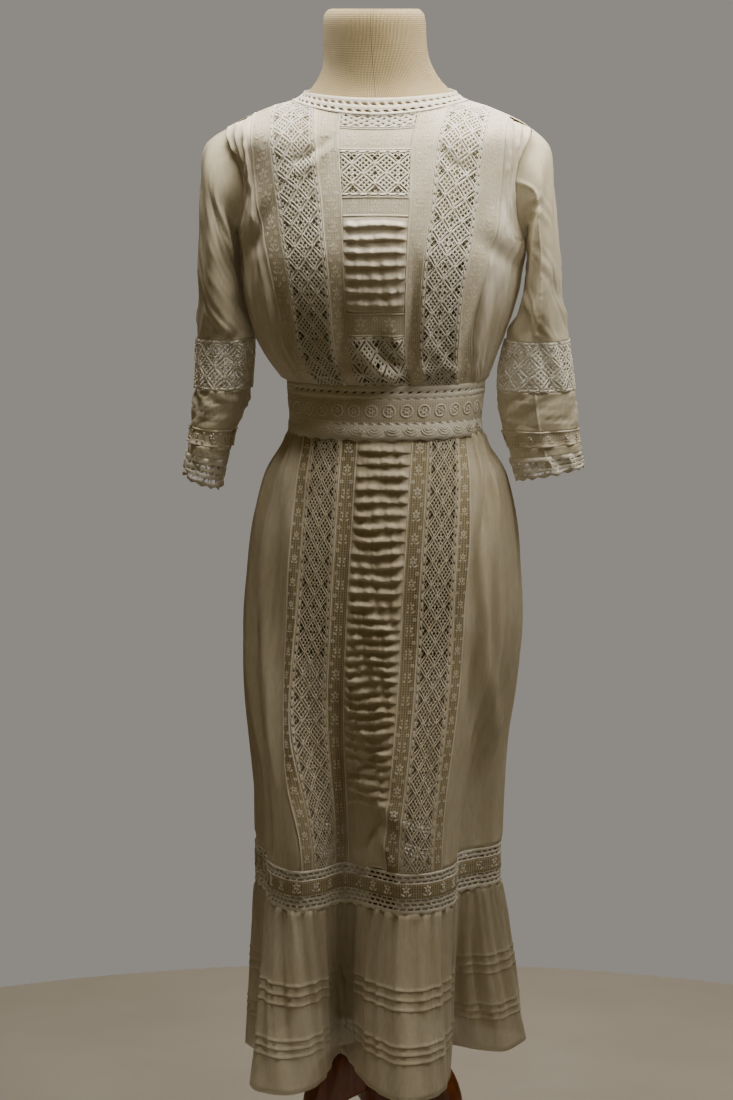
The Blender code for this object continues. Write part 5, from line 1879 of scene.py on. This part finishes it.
def skirt_patch(start: Callable[[float], float], end: Callable[[float], float], bottom: float, top: float,
                across: int, along: int, closed: bool = False) -> Patch:
    """A stretch of the skirt.

    Args:
        start: its first edge's distance from the centre front at a height.
        end: its other edge's.
        bottom: its lower height.
        top: its upper height.
        across: how many steps to sample across.
        along: how many steps to sample up.
        closed: whether it goes all the way round.

    Returns:
        The patch.
    """
    def place(s: float, t: float) -> Vector:
        height = bottom + (top - bottom) * t
        return SKIRT.point(start(height) + (end(height) - start(height)) * s, height)

    drape = None if closed or top <= KNEE_BOTTOM else skirt_drape
    return Patch(place, across, along, closed, drape)


def skirt_drape(points: Grid) -> Grid:
    """The creases of the skirt, between the waistband and the knee band."""
    return draped(SKIRT_CREASES, points, KNEE_TOP, 0.9760)


def between(low: float, high: float, side: int, bottom: float, top: float) -> Patch:
    """A strip of the skirt between two distances from the centre front, on one side."""
    start, end = (low, high) if side > 0 else (-high, -low)
    return skirt_patch(lambda height: start, lambda height: end, bottom, top, 10, 100)


def all_round(bottom: float, top: float, across: int, along: int) -> Patch:
    """A whole ring of the skirt, closed at the centre back."""
    return skirt_patch(lambda height: -SKIRT.reach(height, -1), lambda height: SKIRT.reach(height, 1),
                       bottom, top, across, along, closed=True)


@dataclass
class Waistband:
    """The openwork band at the waist: a heading, flower lace, a ladder and a scalloped edge."""

    rolls: Rolls
    pitch: float = 0.0108
    edge: float = 0.9805
    net: tuple[float, float] = (0.0222, 0.0426)
    ladder: OpenRow = OpenRow(0.0156, 0.0200, -0.60)
    heading: tuple[OpenRow, OpenRow] = (OpenRow(0.0446, 0.0488, -0.55), OpenRow(0.0508, 0.0572, 0.80, -0.20))
    circle: float = 0.0160
    spacing: float = 0.0212
    fan_radii: Row = (0.0042, 0.0072, 0.0102)

    def make(self) -> None:
        """Sew both halves."""
        for name, first, last in (("front", -90.0, 90.0), ("back", 90.0, 270.0)):
            self.make_half(name, first, last)

    def make_half(self, name: str, first: float, last: float) -> None:
        """Sew the band from one side seam to the other.

        Args:
            name: front or back.
            first: the angle where it starts.
            last: the angle where it ends.
        """
        def place(s: float, t: float) -> Vector:
            height = self.edge + (WAIST_TOP - self.edge) * t
            return Vector((*oval(first + (last - first) * s, *SKIRT.row(height)[1:5]), height))

        patch = Patch(place, 72, 12)
        low, high = self.net
        form = open_band(patch, self.pitch, (self.ladder, *self.heading), 0.0021, 0.0026)
        mark_net(form, low - 0.002, high + 0.002)
        spots = spaced(patch.width, self.spacing, (low + high) / 2)
        scatter(form, lambda: wheel_flower(self.circle), spots, 0.0005)
        columns = round(patch.width / self.pitch)
        foot = self.ladder.low - 0.0008
        centres = [(column * patch.width / columns, foot) for column in range(1, columns, 2)]
        for radius in self.fan_radii:
            scatter(form, lambda: bent_strip((0.0, 0.0), radius, 205, 335, 0.0012, 8), centres, 0.0006)
        middle = patch.width / 2
        cord_places = (0.0, low - 0.0008, high + 0.0006, self.heading[1].low - 0.0010, 0.0605)

        def relief(u: Grid, v: Grid) -> Grid:
            skirt_edge = 0.0009 * np.clip(1.6 - v / 0.014, 0, 1)
            waves = 0.0006 * ripple(u / patch.width, 7, 2.0)
            return 0.0006 + skirt_edge + 0.0008 * cords(v, cord_places, 0.0010) + waves

        def slip(u: Grid, v: Grid) -> Grid:
            hang = 0.0006 * (1 - np.abs(u - middle) / middle) if name == "front" else 0.0 * u
            return -hang * np.clip(1 - v / 0.018, 0, 1)

        sew("waistband_lace_" + name, form, Cloth(patch, BRAID_WALL, relief, slip=slip),
            (self.rolls.net, self.rolls.braid), "waistband_" + name)


@dataclass
class Skirt:
    """The skirt: the tucked centre panel, the lace strips, the lawn sides, the knee band and the flounce."""

    rolls: Rolls
    top: float = 0.9835
    bottom: float = 0.4825
    tuck_top: float = 0.9797
    tuck_groups: tuple[tuple[int, float], ...] = ((13, 0.0150), (19, 0.0122))
    tuck_depth: float = 0.0092
    tuck_height: float = 0.0050
    side_fade: float = 1 / 22
    flounce_tucks: Row = (0.352, 0.341, 0.330, 0.290, 0.281, 0.272)
    knee_rows: tuple[OpenRow, ...] = (
        OpenRow(0.0024, 0.0072, 0.25), OpenRow(0.0078, 0.0126, -0.25, 0.75), OpenRow(0.0132, 0.0174),
        OpenRow(0.0350, 0.0394, 0.25), OpenRow(0.0400, 0.0448, -0.25, 0.75),
    )
    knee_net: tuple[float, float] = (0.0190, 0.0336)
    trellis: Trellis = field(default_factory=lambda: Trellis(thread=0.0006, braid=0.23, slot=0.085))

    def make(self) -> None:
        """Sew every piece of the skirt."""
        self.make_panel()
        for side, word in ((-1, "left"), (1, "right")):
            self.make_strips(side, word)
            self.make_side(side, word)
        self.make_knee_band()
        self.make_flounce()

    def make_panel(self) -> None:
        """Sew the long centre panel, with its many horizontal tucks."""
        reach = SKIRT_STRIPS[0] + LAP
        patch = skirt_patch(lambda height: -reach, lambda height: reach, self.bottom, self.top, 28, 100)
        lips = []
        height = self.tuck_top - self.bottom
        for count, spacing in self.tuck_groups:
            for _ in range(count):
                lips.append(height - self.tuck_depth)
                height -= spacing
        rows = tucks(0.0, patch.length, sorted(lips), self.tuck_depth, self.tuck_height)
        form = cut(even(0.0, patch.width, TUCK_STEP), rows)

        def swell(u: Grid, v: Grid) -> Grid:
            share = u / patch.width
            ends = inset(u, patch.width, 0.008, 0.20) * np.clip(v / 0.16, 0.45, 1)
            broad = 0.34 * ripple(share * 0.5, 2, v * 61)
            return ends * (0.80 + broad + 0.30 * ripple(share, 4, v * 53) + 0.18 * ripple(share, 9, v * 37))

        def slip(u: Grid, v: Grid) -> Grid:
            low = np.clip(1.6 - v / patch.length * 1.6, 0, 1)
            wave = ripple(u / patch.width * 0.5 + v * 0.6, 2, 3.0 + v * 24)
            return (0.0007 + 0.0012 * low) * wave + 0.0004 * ripple(u / patch.width, 6, v * 29)

        def relief(u: Grid, v: Grid) -> Grid:
            low = np.clip(1.7 - v / patch.length * 1.8, 0, 1)
            slack = 0.0014 * low * inset(u, patch.width, 0.012)
            waves = 1 + ripple(u / patch.width + v * 2, 2, 6.0)
            return 0.0010 * inset(u, patch.width, 2 * LAP) - 0.0007 + slack * waves

        cloth = Cloth(patch, LAWN_WALL, relief, swell, slip, held="hung", cut_length=row_length(rows))
        sew("skirt_panel_tucks", form, cloth, (self.rolls.skirt,), "skirt_panel")

    def make_strips(self, side: int, word: str) -> None:
        """Sew one side's three laces."""
        rolls = self.rolls
        panel, inner_val, cluny, outer_val = SKIRT_STRIPS
        node = "skirt_insertion_" + word
        for name, low, high in (("val_inner", panel, inner_val), ("val_outer", cluny, outer_val)):
            patch = between(low + 0.0003, high - 0.0003, side, self.bottom, self.top)
            cloth = Cloth(patch, NET_WALL, held="hung", crisp=True)
            sew(f"skirt_{name}_{word}", flower_lace(patch, Way.UP), cloth, (rolls.shaded_skirt_net, rolls.darning),
                node)
        patch = between(inner_val, cluny, side, self.bottom, self.top)
        cloth = Cloth(patch, BRAID_WALL, BRAID_LIFT, held="hung")
        sew("skirt_cluny_" + word, self.trellis.make(patch, Way.UP), cloth, (rolls.shaded_skirt_braid,),
            node)

    def make_side(self, side: int, word: str) -> None:
        """Sew the lawn from the lace round to the centre back, in long soft folds."""
        outer = SKIRT_STRIPS[3] - LAP

        def start(height: float) -> float:
            return outer if side > 0 else -SKIRT.reach(height, -1)

        def end(height: float) -> float:
            return SKIRT.reach(height, 1) if side > 0 else -outer

        patch = skirt_patch(start, end, self.bottom, self.top, 90, 60)
        form = plain_cut(patch, 0.0026, 0.0050)
        seed = 2.0 + side

        def relief(u: Grid, v: Grid) -> Grid:
            share = u / patch.width
            share = share if side > 0 else 1 - share
            up = v / patch.length
            edge = inset(share, 1, self.side_fade)
            ends = np.clip(np.minimum(up, 1 - up) * patch.length / 0.010, 0, 1)
            pleats = 1.3 - 1.1 * bell(ripple(share + 0.02 * up, 19, seed), 0.22)
            gather = 0.0026 * np.exp(-(1 - up) * patch.length / 0.15) * pleats
            long = 0.0042 * ripple(share + 0.02 * np.sin(up * 6 + seed), 11, seed)
            fine = 0.0018 * ripple(share + 0.05 * up, 27, seed + 1)
            folds = long * (0.5 + 0.5 * np.sin(up * math.pi))
            folds += fine * (0.3 + 0.7 * np.sin(up * 5 + 2 * seed) ** 2)
            seam = np.clip(np.minimum(share, 1 - share) * patch.width / (2 * LAP), 0, 1)
            return edge * ends * (gather + folds) + 0.0006 * edge + 0.0007 * (seam - 1)

        cloth = Cloth(patch, LAWN_WALL, relief, held="gathered", fullness=1.1, rests_on="waistband_back")
        sew("skirt_lawn_" + word, form, cloth, (self.rolls.skirt,), "skirt_side_" + word)

    def make_knee_band(self) -> None:
        """Sew the band at the knees: flower lace between two openwork headings."""
        patch = all_round(KNEE_BOTTOM, KNEE_TOP, 330, 10)
        form = open_band(patch, 0.0088, self.knee_rows, 0.00115, 0.0034)
        low, high = self.knee_net
        mark_net(form, low - 0.001, high + 0.001)
        spots = spaced(patch.width, 0.0250, (low + high) / 2)
        scatter(form, lambda: flower(high - low), spots, 0.0004)

        def relief(u: Grid, v: Grid) -> Grid:
            corded = cords(v, (0.0, low - 0.0010, high + 0.0010, 0.0460), 0.0009)
            return 0.0008 + 0.0010 * corded + 0.0010 * ripple(u / patch.width, 40, 4.0)

        sew("knee_band_lace", form, Cloth(patch, 0.0008, relief, held="hung", rests_on="skirt_panel"),
            (self.rolls.shaded_skirt_net, self.rolls.braid), "knee_band")

    def make_flounce(self) -> None:
        """Sew the gathered flounce, with two groups of three tucks and a hem."""
        patch = all_round(HEM, KNEE_BOTTOM - 0.0005, 440, 40)
        lips = sorted(height - HEM - 0.004 for height in self.flounce_tucks)
        rows = tucks(0.0, patch.length, lips, 0.0048, 0.0011, 0.0070)

        def swell(u: Grid, v: Grid) -> Grid:
            return 0.8 + 0.5 * ripple(u / patch.width, 113, v * 20)

        def slip(u: Grid, v: Grid) -> Grid:
            ends = np.clip(v / 0.03, 0, 1) * np.clip((patch.length - v) / 0.03, 0, 1)
            return 0.0005 * ripple(u / patch.width, 33, 2.0 + v * 9) * ends

        def relief(u: Grid, v: Grid) -> Grid:
            share = u / patch.width
            up = v / patch.length
            ends = np.clip((1 - up) * patch.length / 0.008, 0, 1)
            gather = 0.0018 * up ** 3 * ripple(share, 149, 2.0)
            waves = 0.0030 * ripple(share + 0.004 * np.sin(up * 4), 47, 4.0)
            groove = -0.0032 * bell(ripple(share, 29, 1.0), 0.16) * np.sin(up * 2.9)
            return ends * (gather + waves * (0.35 + 0.65 * np.sin(up * 2.6)) + groove) + 0.0006

        cloth = Cloth(patch, LAWN_WALL, relief, swell, slip, held="gathered", cut_length=row_length(rows),
                      rests_on="knee_band")
        sew("flounce_lawn", cut(even(0.0, patch.width, 0.0032), rows), cloth, (self.rolls.flounce,),
            "flounce")


# Dress form and stand

def flat_uv(faces: Iterable[bmesh.types.BMFace], layer: bmesh.types.BMLayerItem) -> None:
    """Take faces' UV places from where their corners lie, seen from above."""
    for face in faces:
        for loop in face.loops:
            loop[layer].uv = loop.vert.co.xy


@dataclass
class Stand:
    """The limbless dress form of ribbed jersey, on a turned pole with three curved legs."""

    pole_radius: float = 0.016
    hub_top: float = 0.262
    hub_bottom: float = 0.158
    leg_thickness: float = 0.026
    leg_angles: Row = (65.0, 185.0, -55.0)
    leg_top: tuple[Point, ...] = (
        (0.0303, 0.236), (0.060, 0.233), (0.088, 0.214), (0.104, 0.182), (0.109, 0.140),
        (0.118, 0.096), (0.138, 0.060), (0.166, 0.040), (0.194, 0.030), (0.208, 0.016),
    )
    leg_bottom: tuple[Point, ...] = (
        (0.206, 0.000), (0.176, 0.000), (0.150, 0.012), (0.118, 0.036), (0.094, 0.070),
        (0.083, 0.110), (0.079, 0.144), (0.062, 0.168), (0.0303, 0.178),
    )

    def make(self) -> None:
        """Build the form, its pole and its legs."""
        wood = PolishedWood().make()
        self.make_torso(Jersey().make())
        self.make_pole(wood)
        for word, angle in zip(("right", "back", "left"), self.leg_angles):
            self.make_leg(word, angle, wood)

    def torso_point(self, angle: float, position: float) -> Vector:
        """The padded form's surface, from the neck block at position 0 down to the thighs."""
        points = [tuple(section_point(numbers(section), angle)) for section in FORM_NECK]
        for section, depth in FORM_INSETS:
            points.append(tuple(bodice_point(angle, section) - bodice_normal(angle, section) * depth))
        points += [tuple(section_point(numbers(section), angle)) for section in FORM_HIPS]
        return Vector(read_rows(points, position))

    def make_torso(self, jersey: Material) -> None:
        """Stretch the jersey over the form and close its ends."""
        last = len(FORM_NECK) + len(FORM_INSETS) + len(FORM_HIPS) - 1
        patch = Patch(lambda s, t: self.torso_point(360 * s, last * (1 - t)), 96, 96, closed=True)
        form = plain_cut(patch, patch.width / 96, 0.008)
        layer = form.loops.layers.uv.new(UV_NAME)
        flat_uv(form.faces, layer)
        flat = np.array([tuple(vert.co) for vert in form.verts])
        for vert, point in zip(form.verts, patch.lay(flat)):
            vert.co = point
        bmesh.ops.remove_doubles(form, verts=form.verts[:], dist=1e-5)
        rims = [edge for edge in form.edges if edge.is_boundary]
        bmesh.ops.holes_fill(form, edges=rims, sides=0)
        bmesh.ops.bevel(form, geom=rims, affect="EDGES", offset=0.003, segments=3, profile=0.5, material=-1)
        flat_uv((face for face in form.faces if len(face.verts) > 4), layer)
        add_piece("form_jersey", form, jersey, Slot.JERSEY, "form_torso")

    def make_pole(self, wood: Material) -> None:
        """Turn the pole and the hub."""
        top, hub, base = TORSO_END - SEAM_GAP, self.hub_top, self.hub_bottom
        profile = (
            (0.0, top), (self.pole_radius, top), (self.pole_radius, hub + 0.045), (0.0175, hub + 0.041),
            (0.019, hub + 0.036), (0.0235, hub + 0.030), (0.026, hub + 0.022), (0.0235, hub + 0.014),
            (0.020, hub + 0.010), (0.027, hub + 0.002), (0.030, hub - 0.006), (0.030, base + 0.010),
            (0.022, base - 0.002), (0.012, base - 0.014), (0.0, base - 0.018),
        )
        add_piece("stand_turned_pole", spun(profile, 40), wood, Slot.WOOD, "stand_pole")

    def make_leg(self, word: str, angle: float, wood: Material) -> None:
        """Saw one leg from a plank and round its edges.

        Args:
            word: which leg it is.
            angle: where it stands round the pole.
            wood: its finish.
        """
        outline = []
        for edge in (self.leg_top, self.leg_bottom):
            points = [read_rows(edge, index / 3) for index in range(3 * (len(edge) - 1) + 1)]
            outline += [(radius, max(height, 0.0)) for radius, height in points]
        form = bmesh.new()
        verts = [form.verts.new((radius, -self.leg_thickness / 2, height)) for radius, height in outline]
        edges = [form.edges.new(pair) for pair in zip(verts, verts[1:] + verts[:1])]
        bmesh.ops.edgeloop_fill(form, edges=edges)
        grown = bmesh.ops.extrude_face_region(form, geom=form.faces[:])["geom"]
        moved = [item for item in grown if isinstance(item, bmesh.types.BMVert)]
        bmesh.ops.translate(form, verts=moved, vec=(0.0, self.leg_thickness, 0.0))
        bmesh.ops.recalc_face_normals(form, faces=form.faces[:])
        rims = [edge for edge in form.edges
                if abs(edge.verts[0].co.y - edge.verts[1].co.y) < 1e-6 and edge.verts[0].co.x > 0.031]
        bmesh.ops.bevel(form, geom=rims, affect="EDGES", offset=0.0050, segments=3, profile=0.5, material=-1,
                        loop_slide=True)
        form.transform(Matrix.Rotation(math.radians(angle - 90), 4, "Z"))
        add_piece("stand_sawn_leg_" + word, form, wood, Slot.WOOD, "stand_leg_" + word)


# Studio

@dataclass
class Studio:
    """A plain pale floor, soft light and the camera."""

    target: Vector = field(default_factory=lambda: Vector((-0.019, 0.0, 0.837)))
    distance: float = 4.2
    height: float = 1.45
    turn: float = 4.0
    lens: float = 116.8
    floor_radius: float = 1.25

    def make(self) -> None:
        """Set up the floor, the lights, the air and the camera."""
        self.make_floor()
        self.make_camera()
        self.make_air()
        self.light("left", (-0.10, -0.08, 2.10), 0.45, 19.0, "#FFF6E6")
        self.light("right", (0.45, -0.15, 1.80), 0.70, 10.6, "#FFF6E6")
        self.light("fill", (-2.2, -2.8, 2.2), 1.8, 1.0, "#F6E6C0")
        self.light("back", (0.5, 2.7, 2.3), 1.4, 20.0, "#FFF0D8")

    def make_air(self) -> None:
        """Fill the air with weak warm light, in front of a plain grey that the camera sees."""
        world = bpy.data.worlds.new("studio_air")
        world.use_nodes = True
        air = Nodes(world.node_tree)
        seen = air.tree.nodes["Background"]
        air.fill(seen, {"Color": "#918D87"})
        glow = air.add("Background", {"Color": "#FFDA76", "Strength": 0.050})
        both = air.add("MixShader", (air.add("LightPath", output="Is Camera Ray"), glow, seen.outputs[0]))
        air.fill(air.tree.nodes["World Output"], {"Surface": both})
        bpy.context.scene.world = world

    def make_floor(self) -> None:
        """Lay a round pale floor."""
        form = bmesh.new()
        bmesh.ops.create_circle(form, cap_ends=True, segments=96, radius=self.floor_radius,
                                matrix=Matrix.Translation((0.0, 0.0, -0.0006)))
        board = Plain("matt_painted_board", "#B9B6B0", "#B2AEA8", 0.8, 0.25).make()
        in_scene("studio_floor", mesh_of("studio_floor", form), (board,))

    def light(self, name: str, place: Row, size: float, power: float, colour: str) -> None:
        """Hang one soft area light that faces the dress."""
        lamp = bpy.data.lights.new(name, "AREA")
        lamp.size = size
        lamp.energy = power
        lamp.color = linear(colour)[:3]
        item = bpy.data.objects.new("light_" + name, lamp)
        item.location = place
        item.rotation_euler = (self.target - Vector(place)).to_track_quat("-Z", "Y").to_euler()
        bpy.context.scene.collection.objects.link(item)

    def make_camera(self) -> None:
        """Stand the camera where the photograph was taken."""
        camera = bpy.data.cameras.new("camera")
        camera.lens = self.lens
        camera.sensor_width = 36.0
        item = bpy.data.objects.new("camera", camera)
        angle = math.radians(self.turn)
        item.location = (self.distance * math.sin(angle), -self.distance * math.cos(angle), self.height)
        item.rotation_euler = (self.target - item.location).to_track_quat("-Z", "Y").to_euler()
        bpy.context.scene.collection.objects.link(item)
        bpy.context.scene.camera = item


def main() -> None:
    """Load the frame, dress it and log the face counts of its hard pieces."""
    logging.basicConfig(level=logging.INFO, format="%(message)s")
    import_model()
    Studio().make()
    rolls = Rolls()
    Bodice(rolls).make()
    Sleeve(rolls, -1, "left", LEFT_SLEEVE).make()
    Sleeve(rolls, 1, "right", RIGHT_SLEEVE).make()
    Waistband(rolls).make()
    Skirt(rolls).make()
    Stand().make()


if __name__ == "__main__":
    main()
